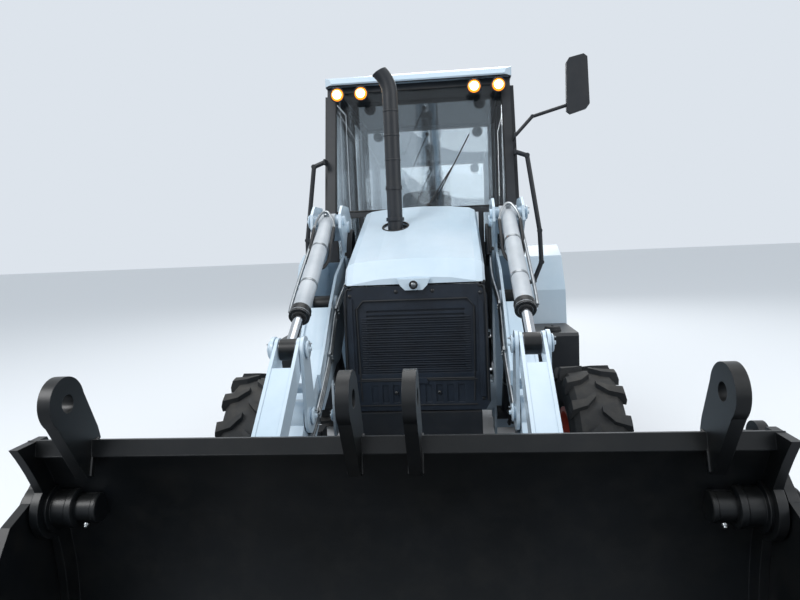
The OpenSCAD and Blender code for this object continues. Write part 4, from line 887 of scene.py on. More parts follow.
@dataclass
class CabTrim(Assembly):
    """Seals, wipers, mirror face, handles and steps round the cab."""

    cab_x: float = 664.0
    # Station and height of the windscreen's lower and upper edge
    screen_low: tuple[float, float] = (770.0, 1950.0)
    screen_top: tuple[float, float] = (1015.0, 2890.0)
    roof_z: float = 2960.0

    def build(self) -> None:
        """Adds the cab's small pieces, from the glass outwards."""
        self.window_seals()
        self.front_wiper()
        self.rear_wiper()
        self.mirror()
        self.doors()
        self.steps()
        self.roof_trim()

    def on_screen(self, x: float, s: float, out: float) -> Vector:
        """A point on the windscreen.

        Args:
            x: Millimetres to the left of its middle.
            s: Millimetres up from its lower edge.
            out: Millimetres out from its face.

        Returns:
            The point in the model's frame.
        """
        (y0, z0), (y1, z1) = self.screen_low, self.screen_top
        long = math.hypot(y1 - y0, z1 - z0)
        uy, uz = (y1 - y0) / long, (z1 - z0) / long
        return at(x, y0 + uy * s - uz * out, z0 + uz * s + uy * out)

    def window_seals(self) -> None:
        """Runs seals round the windscreen, the quarter, rear and rear side windows."""
        half = self.cab_x - 62
        screen = [self.on_screen(x, s, -1) for x, s in oblong(-half, half, 20, 922)]
        seals, rear = Shape().tube(loop(screen), 7, 8), Shape()
        for s in Side:
            seals.tube(loop(at_y(772, oblong(s * 434, s * 600, 1566, 1926))), 6, 8)
            rear.tube(loop(at_x(s * (self.cab_x - 12), oblong(1856, 2584, 1706, 2848))), 6, 8)
        seals.tube(loop(at_y(2641, oblong(-600, 600, 1704, 2843))), 7, 8)
        self.shop.piece("window_seals", RUBBER, seals)
        self.shop.piece("rear_side_seals", RUBBER, rear)

    def front_wiper(self) -> None:
        """Lays the wiper's arm and blade on the windscreen."""
        base = self.on_screen(60, 34, 0)
        out = (self.on_screen(60, 34, 10) - base).normalized()
        arm = Shape().turned(base - out * 0.008, out, [(0, 20), (20, 20), (26, 14), (32, 12)], 20)
        tip = self.on_screen(250, 330, 22)
        arm.tube([base + out * 0.026, self.on_screen(100, 95, 30), self.on_screen(210, 270, 28),
                  tip], 5, 8)
        low, high = self.on_screen(120, 90, 12), self.on_screen(360, 545, 12)
        across = (high - low).normalized().cross(out) * 0.004
        arm.plate([low - across, low + across, high + across, high - across], out * 0.008, 1.5)
        for share in (0.3, 0.7):
            middle = low.lerp(high, share)
            arm.tube([middle + out * 0.006, tip.lerp(middle, 0.25) + out * 0.004], 3.5, 6)
        edge, drop = across * 0.5, out * 0.011
        blade = Shape().plate(
            [low - edge - drop, low + edge - drop, high + edge - drop, high - edge - drop],
            out * 0.012, 0.8,
        )
        self.shop.piece("front_wiper", LAMP_BODY, arm)
        self.shop.piece("front_wiper_blade", RUBBER, blade)

    def rear_wiper(self) -> None:
        """Hangs a wiper and its motor at the top of the rear window."""
        y = 2640
        arm = Shape().turned(at(0, y - 4, 2800), Y, [(0, 20), (20, 20), (28, 12)], 20)
        arm.tube([at(0, y + 18, 2800), at(-50, y + 26, 2700), at(-120, y + 18, 2560)], 5, 8)
        arm.plate(at_y(y + 8, ((-40, 2740), (-32, 2742), (-196, 2380), (-204, 2378))),
                  Y * 0.008, 1.5)
        blade = Shape().plate(
            at_y(y - 1, ((-38, 2740), (-34, 2741), (-198, 2379), (-202, 2378))), Y * 0.009, 0.8
        )
        self.shop.piece("rear_wiper", LAMP_BODY, arm)
        self.shop.piece("rear_wiper_blade", RUBBER, blade)

    def mirror(self) -> None:
        """Silvers the mirror's face, with its rim and its swivel."""
        outline = [(1040, 2602), (1060, 2584), (1140, 2608), (1154, 2628), (1144, 2912),
                   (1130, 2926), (1052, 2910), (1038, 2890)]
        face = Shape().plate(at_y(823, outline), Y * 0.001)
        self.shop.piece("mirror_glass", MIRROR, face, smooth=False)
        rim = Shape().tube(loop(at_y(821, outline)), 5, 8)
        for z in (2600, 2640):
            rim.turned(at(1090, 806, z), Z, [(0, 17), (12, 17)], 20)
        rim.bolt(at(1090, 806, 2652), Z, 19, 9)
        self.shop.piece("mirror_rim", TRIM, rim)

    def doors(self) -> None:
        """Seals both panes of each door, bolts its hinges and puts a lock in its handle."""
        lower = [(898, 1154), (1322, 1154), (1338, 1466), (898, 1466)]
        upper = [(898, 1536), (1392, 1536), (1494, 1702), (1640, 1754), (1732, 1778),
                 (1732, 2798), (1130, 2798), (898, 1970)]
        for s in Side:
            body, (seal, hinges, lock) = f"door_{s.low}", (Shape(), Shape(), Shape())
            for pane in (lower, upper):
                seal.tube(loop(at_x(s * (self.cab_x + 26), pane)), 6, 8)
            skin, handle = s * (self.cab_x + 39), s * (self.cab_x + 59)
            for z in (1295, 1845):
                hinges.block(at(skin - s * 8, 846, z - 34), at(skin, 892, z + 34), 2.0)
                for dz in (-20, 20):
                    hinges.bolt(at(skin, 874, z + dz), X * s, 13, 7)
                for dz in (-47, 45):
                    hinges.turned(at(skin - s * 20, 842, z + dz), Z, [(0, 15), (4, 15)], 20)
            lock.turned(at(handle, 1754, 2105), X * s, [(0, 9), (4, 9), (6, 7)], 20)
            lock.turned(at(handle, 1754, 2030), X * s, [(0, 5), (3, 5)], 16)
            self.shop.piece(f"door_seal_{s.low}", RUBBER, seal, body)
            self.shop.piece(f"door_hinges_{s.low}", CHARCOAL, hinges, body)
            self.shop.piece(f"door_lock_{s.low}", ZINC, lock, body)

    def steps(self) -> None:
        """Raises a tread on both steps, caps the tank and latches the tool box."""
        tread, latches = Shape(), Shape()
        for s in Side:
            for i in range(6):
                for j in range(6):
                    # Neighbouring studs lean opposite ways, as on pressed tread plate
                    turn = 0.6 if (i + j) % 2 else -0.6
                    d = Vector((math.cos(turn), math.sin(turn), 0)) * 0.009
                    n = Vector((-d.y, d.x, 0)) * 0.28
                    c = at(s * (915 + i * 26), 1238 + j * 24, 735)
                    tread.plate([c - d, c + n, c + d, c - n], Z * 0.003)
        self.shop.piece("step_tread", CHARCOAL, tread, smooth=False)
        cap = Shape().turned(
            at(900, 800, 1069), Z,
            [(0, 60), (14, 60), (18, 56), (30, 54), (36, 48), (36, 10), (42, 8)], 32,
        )
        self.shop.piece("filler_cap", TRIM, cap)
        for y in (780, 1100):
            latches.block(at(-1066, y - 26, 1000), at(-1060, y + 26, 1046), 3.0)
            latches.turned(at(-1066, y, 1022), -X, [(0, 10), (6, 10), (8, 7)], 20)
        self.shop.piece("tool_box_latches", ZINC, latches)

    def roof_trim(self) -> None:
        """Runs a drip channel round the roof, with its bolts on top."""
        x, z = self.cab_x + 8, 2893
        outline = [(-x + 40, 962), (x - 40, 962), (x - 4, 1000), (x - 4, 2670),
                   (x - 50, 2712), (-x + 50, 2712), (-x + 4, 2670), (-x + 4, 1000)]
        channel = Shape().tube(loop([at(a, b, z) for a, b in outline]), 6, 8)
        self.shop.piece("roof_channel", CHARCOAL, channel)
        bolts = Shape()
        for s in Side:
            for y in (1090, 1800, 2560):
                bolts.bolt(at(s * (self.cab_x - 50), y, self.roof_z - 0.5), Z, 15, 7)
        self.shop.piece("roof_bolts", ZINC, bolts)


def spoke(turn: float, long_mm: float = 1000.0) -> Vector:
    """A ray in a wheel's plane, turned from the rear upwards, in metres."""
    return Vector((0, math.cos(turn), math.sin(turn))) * (long_mm / 1000)


@dataclass
class Wheel(Assembly):
    """Nuts, cap, valve and sidewall rings of one wheel."""

    name: str
    side: Side
    y: float
    radius: float
    # The tyre's middle plane, and how far inside it the disc's face lies
    middle_x: float
    disc_in: float
    # The hub's radius and how far its cap stands out from the disc, and the nuts' circle
    hub_r: float
    cap_mm: float
    bolt_r: float
    bolts: int
    # The rim's radius, and the tyre's width and its radius under the lugs
    rim_r: float
    width: float
    body_r: float

    def build(self) -> None:
        """Adds the wheel's small pieces."""
        out = X * self.side
        face = at(self.side * (self.middle_x - self.disc_in), self.y, self.radius)
        nuts, cap, valve = Shape(), Shape(), Shape()
        for i in range(self.bolts):
            spot = face + spoke(2 * math.pi * (i + 0.5) / self.bolts, self.bolt_r)
            nuts.turned(spot, out, [(0, 20), (3, 20), (5, 15)], 20)
            nuts.bolt(spot + out * 0.002, out, 27, 20)
            nuts.turned(spot + out * 0.018, out, [(0, 9), (12, 9), (14, 7)], 14)
        top = face + out * (self.cap_mm / 1000)
        for i in range(6):
            cap.bolt(top + spoke(2 * math.pi * i / 6, self.hub_r * 0.62), out, 13, 7)
        cap.turned(top, out, [(0, 26), (4, 26), (8, 20), (8, 8), (5, 7)], 28)
        ray = spoke(math.radians(70))
        start = face + ray * ((self.rim_r - 42) / 1000) - out * 0.004
        tip = start + out * 0.034 + ray * 0.014
        valve.tube([start, start + out * 0.018 + ray * 0.004, tip], 4, 10)
        valve.turned(tip, out, [(0, 6), (12, 6), (14, 4)], 12)
        for part, shape in (("nuts", nuts), ("cap_bolts", cap), ("valve", valve)):
            self.shop.piece(f"{self.name}_{part}", ZINC, shape, self.name)
        self.sidewall(out)

    def sidewall(self, out: Vector) -> None:
        """Moulds fine rings into the tyre's outer sidewall.

        Args:
            out: The way from the machine's middle to the wheel.
        """
        rings, deep = Shape(), self.body_r - self.rim_r
        for share, wide in ((0.22, 0.446), (0.34, 0.462), (0.60, 0.474)):
            r = self.rim_r + deep * share
            centre = at(self.side * (self.middle_x + self.width * wide), self.y, self.radius)
            rows = [
                rings.ring(centre + out * (o / 1000), Y, Z, (r + dr) / 1000, 96)
                for o, dr in ((-6, -5), (3, -4), (4.5, 0), (3, 4), (-6, 5))
            ]
            rings.join(rows, caps=False)
        self.shop.piece(f"{self.name}_sidewall_rings", RUBBER, rings, self.name)


def wheels(shop: Workshop) -> list[Wheel]:
    """The four wheels' trims.

    Args:
        shop: Where pieces are made.

    Returns:
        Front and rear wheels, left and right.
    """
    sizes = {
        "front": dict(y=0.0, radius=488.0, middle_x=960.0, disc_in=62.0, hub_r=105.0,
                      cap_mm=95.0, bolt_r=165.0, bolts=8, rim_r=238.0, width=310.0, body_r=458.0),
        "rear": dict(y=2175.0, radius=670.0, middle_x=852.0, disc_in=94.0, hub_r=110.0,
                     cap_mm=60.0, bolt_r=190.0, bolts=10, rim_r=315.0, width=480.0, body_r=632.0),
    }
    return [Wheel(shop, f"{end}_wheel_{side.low}", side, **size)
            for side in Side for end, size in sizes.items()]


@dataclass
class Pin:
    """A pin's cap plates: a keeper and a bolt over each end, and a grease nipple."""

    # Station and height, the ends' distance from the middle plane, and the pin's radius
    place: tuple[float, float]
    end: float
    radius: float
    # Distance of the ends that face the middle, where a pin of each side has them
    inner: float = 0.0

    def shape(self, caps: Shape, nipples: Shape) -> None:
        """Adds the pin's ends to a body's shapes.

        Args:
            caps: Takes the caps and bolts.
            nipples: Takes the grease nipples.
        """
        r = self.radius
        for x, way in ((self.end, 1), (self.inner, -1))[:2 if self.inner else 1]:
            for s in Side:
                out = X * (s * way)
                base = at(s * x, *self.place) - out * 0.0005
                caps.turned(base, out, [(0, r + 12), (6, r + 12), (8, r + 9), (8, 0)], 28)
                caps.bolt(base + out * 0.008, out, 19, 11)
                nipples.turned(base + out * 0.0075 + Z * ((r - 4) / 1000), out,
                               [(0, 5), (5, 5), (5, 3), (9, 3), (11, 4), (14, 2)], 10)


def pins(shop: Workshop) -> None:
    """Caps every pin of the loader and the digger.

    Args:
        shop: Where pieces are made.
    """
    tower, lever = 560.0 + 80 + 16 + 14, 560.0 + 63 + 16 + 8
    rows = {
        "chassis": (((436, 1852), tower, 38), ((270, 1890), tower, 30), ((620, 540), tower, 30)),
        "tipping_levers": (((-720, 930), lever, 30, 473.0), ((-760, 1260), lever, 30, 473.0)),
        "bucket_back": ((CLAM_PIVOT, 1191.0, 42),),
        "swing_post": (((SWING + 215, 700), 149.0, 38), ((SWING + 85, 1075), 147.0, 28)),
        "boom": (((SWING + 115, 3040), 106.0, 36), ((SWING - 55, 2080), 106.0, 28),
                 ((SWING - 210, 2290), 75.0, 28)),
        "dipper": (((SWING, 3240), 77.0, 28),),
    }
    for body, places in rows.items():
        caps, nipples = Shape(), Shape()
        for place in places:
            Pin(*place).shape(caps, nipples)
        shop.piece(f"{body}_pin_caps", BLACK if body == "bucket_back" else WHITE, caps, body)
        shop.piece(f"{body}_grease_nipples", ZINC, nipples, body)


@dataclass
class Ram(Assembly):
    """Fittings, hard line, hoses and seals of a ram, or of a pair of rams."""

    barrel: str
    base_body: str
    # The two eyes' places at rest
    base: tuple[float, float]
    eye: tuple[float, float]
    # Where the hoses end: millimetres along the ram from its base and out from it
    hose_end: tuple[float, float]
    # The rod eye's radius and width
    rod_eye: tuple[float, float]
    # How the length changes from rest to its shortest, and the barrel's and the rod's radius
    closes: float = 0.0
    radius: float = 48
    rod_r: float = 27
    # Sideways places of the rams in the pair
    across: tuple[float, ...] = (0.0,)
    # How far the hard line runs beside the barrel's middle and out from its skin, and its radius
    line_run: tuple[float, float] = (22.0, 12.0)
    line_r: float = 6.5
    yoked: bool = False
    # The station of a ram that works across the machine, where the pairs are sideways and up
    sideways_plane: float | None = None

    def spot(self, x: float, s: float, out: float) -> Vector:
        """A point beside the ram.

        Args:
            x: Millimetres across the ram's plane, from the machine's middle plane.
            s: Millimetres from the barrel's eye towards the rod's eye.
            out: Millimetres out on the ports' side.

        Returns:
            The point in the model's frame.
        """
        (a0, b0), (a1, b1) = self.base, self.eye
        ca, sa = (a1 - a0) / self.span, (b1 - b0) / self.span
        a, b = a0 + ca * s - sa * out, b0 + sa * s + ca * out
        if self.sideways_plane is None:
            return at(x, a, b)
        return at(a, self.sideways_plane + x, b)

    @property
    def span(self) -> float:
        """Millimetres from eye to eye at rest."""
        return math.hypot(self.eye[0] - self.base[0], self.eye[1] - self.base[1])

    @property
    def length(self) -> float:
        """The barrel's length from its eye to its gland, in millimetres."""
        return self.span + self.closes - self.radius - 30

    def build(self) -> None:
        """Adds the ram's small pieces."""
        self.glands()
        self.eye_sleeves()
        self.fittings()
        self.hoses()

    def fittings(self) -> None:
        """Adds the ports' nuts and elbows, and each hard line with its two bands."""
        steel, side_hoses = Shape(), Shape()
        r, far, near = self.radius, self.length - 85, self.radius + 40
        run, rise = self.line_run
        band = [(0, r - 1), (0, r + 2.5), (16, r + 2.5), (16, r - 1)]
        for x in self.across:
            aside = math.copysign(run, x)
            for s in (near, far):
                base = self.spot(x, s, r + 10)
                out = (self.spot(x, s, r + 20) - base).normalized()
                steel.turned(base, out, [(0, 18), (12, 18), (14, 16)], 6)
                steel.turned(base + out * 0.014, out, [(0, 11), (8, 11)], 14)
            line = [self.spot(x + aside * share, s, out) for share, s, out in (
                (0, far, r + 24), (0.3, far, r + 31), (0.8, far - 14, r + (rise + 31) / 2),
                (1, far - 40, r + rise), (1, near + 60, r + rise), (1, near + 20, r + rise + 6))]
            steel.tube(smoothed(line, 4), self.line_r, 12)
            for share in (0.3, 0.75):
                s = near + (far - near) * share
                middle = self.spot(x, s, 0)
                steel.turned(middle, self.spot(x, s + 10, 0) - middle, band, 32, True)
                steel.bolt(self.spot(x + aside, s + 8, r + rise + 5),
                           self.spot(x, s, 10) - middle, 13, 6)
            if self.yoked:
                self.yoke(x, steel, side_hoses)
        self.shop.piece(f"{self.barrel}_fittings", ZINC, steel, self.barrel)
        if self.yoked:
            self.shop.piece(f"{self.barrel}_side_hoses", HOSE, side_hoses, self.barrel)

    def yoke(self, x: float, steel: Shape, hoses: Shape) -> None:
        """Spreads two pipes over the barrel's eye, with a hose down each side of the barrel.

        Args:
            x: The ram's sideways place, in millimetres.
            steel: Takes the pipes and nuts.
            hoses: Takes the hoses.
        """
        r = self.radius
        foot, top = self.spot(x, 12, 8 - r), self.spot(x, 12, -r - 30)
        steel.turned(foot, top - foot, [(0, 16), (24, 16), (27, 12), (40, 12)], 6)
        for way in (-1, 1):
            pipe, hose = (
                [self.spot(x + way * aside, s, out) for aside, s, out in places]
                for places in (
                    ((20, 24, -r - 28), (50, 70, -r - 2), (60, 112, 18 - r)),
                    ((61, 160, 25 - r), (60, 280, 4), (56, 370, r - 4), (34, 430, r + 12),
                     (8, 455, r + 4)),
                )
            )
            steel.tube(smoothed([top, *pipe], 4), 7, 10)
            nut = self.spot(x + way * 61, 150, 24 - r) - pipe[-1]
            steel.turned(pipe[-1], nut, [(0, 11), (20, 11), (22, 10), (36, 10)], 6)
            hoses.tube(smoothed([pipe[-1], *hose], 5), 10, 10)

    def glands(self) -> None:
        """Adds each gland's black nut with its screws, and each rod's wiper ring."""
        nuts, seals = Shape(), Shape()
        rod, r = self.rod_r, self.radius + 7.8
        wiper = [(0, rod + 9), (5, rod + 8), (8, rod + 2), (8, rod + 1.2), (0, rod + 1.2)]
        nut = [(0, r - 5), (0, r - 1), (1, r), (38, r), (39, r - 2), (41, r - 2), (42, r),
               (55, r), (56.8, r - 2), (56.8, rod + 10), (0, rod + 10)]
        for x in self.across:
            end = self.spot(x, self.length, 0)
            along = (self.spot(x, self.length + 10, 0) - end).normalized()
            seals.turned(end - along * 0.001, along, wiper, 32, True)
            side = along.orthogonal().normalized()
            other = along.cross(side)
            for i in range(6):
                turn = math.pi * i / 3
                ray = side * math.cos(turn) + other * math.sin(turn)
                nuts.turned(end - along * 0.027 + ray * ((self.radius + 7.5) / 1000), ray,
                            [(0, 5), (2.5, 5), (3, 4)], 10)
            nuts.turned(end - along * 0.056, along, nut, 40, True)
        self.shop.piece(f"{self.barrel}_glands", BLACK, nuts, self.barrel)
        self.shop.piece(f"{self.barrel}_wipers", RUBBER, seals, self.barrel)

    def eye_sleeves(self) -> None:
        """Adds the black sleeve round each rod's eye."""
        axis = X if self.sideways_plane is None else Y
        (r, wide), sleeves = self.rod_eye, Shape()
        section = [(0, r - 10), (0, r - 2), (2, r + 0.8), (wide - 0.8, r + 0.8),
                   (wide + 1.2, r - 2), (wide + 1.2, r - 10)]
        for x in self.across:
            base = self.spot(x, self.span, 0) - axis * ((wide / 2 + 0.6) / 1000)
            sleeves.turned(base, axis, section, 40, True)
        rod = self.barrel.replace("barrel", "rod")
        self.shop.piece(f"{rod}_eyes", BLACK, sleeves, rod)

    def hoses(self) -> None:
        """Loops two hoses from each barrel's ports to what carries the ram."""
        r, near = self.radius, self.radius + 40
        (reach, out), hoses = self.hose_end, Shape()
        for x in self.across:
            for shift, s0, out0 in ((0.0, near, r + 22), (22.0, near + 20, r + 18)):
                line = [self.spot(x + shift, s, away) for s, away in (
                    (s0, out0), (s0 - 6, out0 + 26), (s0 - 40, out0 + 44),
                    ((s0 + reach) / 2 - 20, max(out0 + 38, out + 8)),
                    (reach + 20, out + 4), (reach, out))]
                hoses.tube(smoothed(line, 5), 10, 10)
        piece = self.shop.piece(f"{self.barrel}_hoses", HOSE, hoses, None)
        x = self.across[0]
        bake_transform(piece)


def rams(shop: Workshop) -> list[Ram]:
    """Every ram of the loader, the digger and the stabilizers.

    Args:
        shop: Where pieces are made.

    Returns:
        The rams, single or in pairs.
    """
    return [
        Ram(shop, "lift_barrels", "chassis", (620, 540), (30, 1390), radius=46, rod_r=30,
            across=ARMS, hose_end=(-40, 60), rod_eye=(50, 106)),
        Ram(shop, "tilt_barrels", "chassis", (270, 1890), (-760, 1260), closes=-165.0, radius=46,
            rod_r=27, across=ARMS, hose_end=(-50, 40), rod_eye=(50, 80), line_run=(68.0, -30.0),
            line_r=9.0, yoked=True),
        Ram(shop, "clam_barrels", "bucket_back", (-1490, 430), (-1560, 1085), closes=-256.0,
            radius=34, rod_r=20, across=(1070.0, -1070.0), hose_end=(-30, 50), rod_eye=(38, 50)),
        Ram(shop, "boom_barrel", "swing_post", (SWING + 85, 1075), (SWING - 55, 2080),
            hose_end=(-50, 60), rod_eye=(46, 98)),
        Ram(shop, "dipper_barrel", "boom", (SWING - 210, 2290), (SWING, 3240), closes=-376.0,
            hose_end=(-40, 60), rod_eye=(42, 84)),
        Ram(shop, "hoe_barrel", "dipper", (3853, 2889.1), (4530.4, 1690.4), closes=-489.0,
            hose_end=(-40, 60), rod_eye=(40, 66)),
        *(Ram(shop, f"stabilizer_barrel_{s.low}", "chassis", (130 * s, 1400), (592.5 * s, 920.5),
              radius=46, rod_r=26, hose_end=(-30, 55), rod_eye=(42, 60), sideways_plane=3106.0)
          for s in Side),
    ]


@dataclass
class ArmPlumbing(Assembly):
    """Hard lines, clamps and hoses along the loader arms."""

    # Distance from the middle plane to just inside the arms' inner cheeks
    inside_x: float = 560.0 - 58 - 9
    # Stations and heights along the arm's upper inner side, towards the bucket
    line: tuple[tuple[float, float], ...] = (
        (330, 1660), (180, 1545), (-60, 1395), (-300, 1170), (-600, 935), (-790, 850),
        (-1010, 650), (-1120, 570), (-1340, 400),
    )
    # How far below that edge the three lines run
    drops: tuple[int, int, int] = (40, 64, 88)

    def build(self) -> None:
        """Adds the arms' plumbing: three lines to a side, with clamps and hoses."""
        lines, clamps, hoses = Shape(), Shape(), Shape()
        for s in Side:
            for drop in self.drops:
                path = []
                for i, (y, z) in enumerate(self.line):
                    dy, dz = self.normal(i)
                    path.append(at(s * self.cheek_x(y), y + dy * drop, z + dz * drop))
                lines.tube(smoothed(path, 4), 8, 10)
            for i in (2, 3, 4, 6):
                y, z = self.line[i]
                dy, dz = self.normal(i)
                drop = self.drops[1]
                middle = at(s * (self.cheek_x(y) + 1), y + dy * drop, z + dz * drop)
                across, along = Vector((0, dy, dz)).normalized(), Vector((0, -dz, dy)).normalized()
                a, b, inward = across * 0.046, along * 0.014, X * (-0.012 * s)
                clamps.plate([middle - a - b, middle + a - b, middle + a + b, middle - a + b],
                             inward, 2.0)
                for k in (-1, 1):
                    clamps.bolt(middle + across * (0.012 * k) + inward, X * -s, 11, 6)
            # Three hoses bend from the tower to the arm's lines, over the arm's pivot
            for k in range(3):
                bend = ((560, 1560), (545, 1680 + 12 * k), (500, 1790 + 14 * k),
                        (430, 1800 + 10 * k), (380, 1740), (345, 1668 - 14 * k))
                hoses.tube(smoothed(at_x(s * (468 - 14 * k), bend), 5), 9, 10)
        self.shop.piece("arm_hard_lines", ZINC, lines, "loader_arms")
        self.shop.piece("arm_line_clamps", ZINC, clamps, "loader_arms")
        piece = self.shop.piece("tower_hoses", HOSE, hoses, None)
        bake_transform(piece)

    def cheek_x(self, y: float) -> float:
        """The lines' sideways place: closer in beside the cheeks, and clear of the towers.

        Args:
            y: The station behind the front axle, in millimetres.

        Returns:
            Millimetres from the middle plane.
        """
        if y > 100:
            return self.inside_x - 40
        return self.inside_x - 16 if y > -440 else self.inside_x

    def normal(self, i: int) -> tuple[float, float]:
        """The way down from the arm's upper edge.

        Args:
            i: The number of a point of the line.

        Returns:
            The direction's parts along the machine and up.
        """
        (y0, z0), (y1, z1) = self.line[max(i - 1, 0)], self.line[min(i + 1, len(self.line) - 1)]
        long = math.hypot(y1 - y0, z1 - z0)
        return (z0 - z1) / long, (y1 - y0) / long


@dataclass
class BucketTrim(Assembly):
    """Bolts, wear strips, pivot collars and welds on the front bucket."""

    half_width: float = 1205.0

    def build(self) -> None:
        """Adds the bucket's small pieces."""
        edge, strips = Shape(), Shape()
        for x in range(-1050, 1051, 210):
            edge.turned(at(x, -2395, 46), Z, [(0, 15), (3, 14), (5, 9), (5, 0)], 18)
        for s in Side:
            for y, z in ((-2330, 160), (-2230, 310), (-2140, 460), (-2110, 540)):
                edge.bolt(at(s * self.half_width, y, z), X * s, 24, 0.5)
        self.shop.piece("clam_edge_bolts", BARE, edge, "bucket_clam")
        for x in (-760, 0, 760):
            strips.block(at(x - 60, -2310, 34), at(x + 60, -1960, 40), 2.0)
        self.shop.piece("clam_wear_strips", BARE, strips, "bucket_clam")
        self.pivots()
        self.welds()

    def pivots(self) -> None:
        """Collars the clam's pivots inside the bucket, with a nipple at each pin's end."""
        collars, nipples = Shape(), Shape()
        for s in Side:
            collars.turned(
                at(s * 1104, *CLAM_PIVOT), X * -s,
                [(0, 44), (0, 74), (10, 76), (14, 76), (16, 60), (62, 60), (66, 64), (84, 64),
                 (88, 58), (88, 44)], 44, True,
            )
            collars.turned(at(s * 965, *CLAM_PIVOT), X * -s,
                           [(0, 45.5), (3, 48), (14, 48), (17.5, 44), (17.5, 0)], 44)
            tip = at(s * 978, *CLAM_PIVOT) + Vector((0, -0.040, -0.036))
            nipples.turned(tip, -Y - Z, [(0, 9), (6, 9), (6, 6), (12, 6), (14, 3)], 12)
        self.shop.piece("clam_pivot_collars", BLACK, collars, "bucket_back")
        self.shop.piece("clam_pivot_nipples", ZINC, nipples, "bucket_back")

    def welds(self) -> None:
        """Lays weld beads along the top rim and where the lugs meet it."""
        beads = Shape().tube([at(x, -1767, 1119) for x in range(-1120, 1121, 20)], 5, 6)
        foot = ((-1786, 1062), (-1775, 1100), (-1762, 1135), (-1748, 1160), (-1728, 1163))
        for s in Side:
            for x in (90.0, 937.0):
                for face in (-1, 1):
                    beads.tube(at_x(s * x + face * 20, foot), 5, 6)
        self.shop.piece("bucket_welds", BLACK, beads, "bucket_back")


@dataclass
class Seat(Assembly):
    """The operator's seat: a crowned cushion, a curved back and two arm pads."""

    half_width: float = 236.0

    def build(self) -> None:
        """Builds the seat in place of its plain solid."""
        cushion = self.pad(
            "seat_cushion",
            [(1446, 1436), (1440, 1500), (1470, 1556), (1560, 1572), (1760, 1562), (1868, 1556),
             (1922, 1520), (1928, 1460), (1880, 1428), (1660, 1424), (1480, 1424)],
            self.half_width, 20.0,
        )
        back = self.pad(
            "seat_back",
            [(1842, 1566), (1868, 1700), (1900, 1900), (1930, 2060), (1954, 2184), (1990, 2196),
             (2028, 2180), (2034, 2120), (2008, 1900), (1962, 1700), (1930, 1530), (1880, 1540)],
            self.half_width - 18, 16.0,
        )
        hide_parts("operator_seat")
        self.rests()

    def pad(self, name: str, outline: Pairs, half: float, crown: float) -> bpy.types.Object:
        """Shapes one cushion with pulled-in corners and sewn channels.

        Args:
            name: The piece's name.
            outline: Its section as stations and heights, in order.
            half: Half its width, in millimetres.
            crown: How much fuller its middle is than its ends, in millimetres.

        Returns:
            The cushion.
        """
        my, mz = (sum(p[k] for p in outline) / len(outline) for k in (0, 1))
        shape, rows = Shape(), []
        steps = (0.18, 0.36, 0.52, 0.56, 0.6, 0.76, 0.9, 0.97, 1)
        for t in (*(-step for step in reversed(steps)), 0, *steps):
            # Ends round off, and a seam pulls in at just over half the width
            small = 1 - 0.10 * abs(t) ** 6 - (0.05 if abs(t) == 1 else 0.0)
            seam = 7.0 if abs(t) == 0.56 else 0.0
            row = []
            for y, z in outline:
                dy, dz = y - my, z - mz
                long = math.hypot(dy, dz)
                inward = crown * (0.35 * t * t) + seam
                scale = small * max(0.2, (long - inward) / long)
                row.append(shape.mesh.verts.new(at(half * t, my + dy * scale, mz + dz * scale)))
            rows.append(row)
        shape.join(rows)
        piece = self.shop.piece(name, CLOTH, shape)
        smooth = piece.modifiers.new("round", "SUBSURF")
        smooth.levels = smooth.render_levels = 2
        return piece

    def rests(self) -> None:
        """Adds the arm pads on their posts, and the piping along the cushion's sides."""
        pads, piping = Shape(), Shape()
        for s in Side:
            pads.block(at(252 * s, 1624, 1706), at(308 * s, 1956, 1764), 16.0)
            pads.block(at(218 * s, 1902, 1592), at(256 * s, 1956, 1750), 8.0)
        self.shop.piece("seat_arm_pads", TRIM, pads)
        seam = ((1452, 1500), (1490, 1552), (1600, 1562), (1760, 1554), (1862, 1548))
        for t in (-0.985, 0.985):
            piping.tube(smoothed(at_x(self.half_width * t, seam), 4), 4, 8)
        self.shop.piece("seat_piping", TRIM, piping)


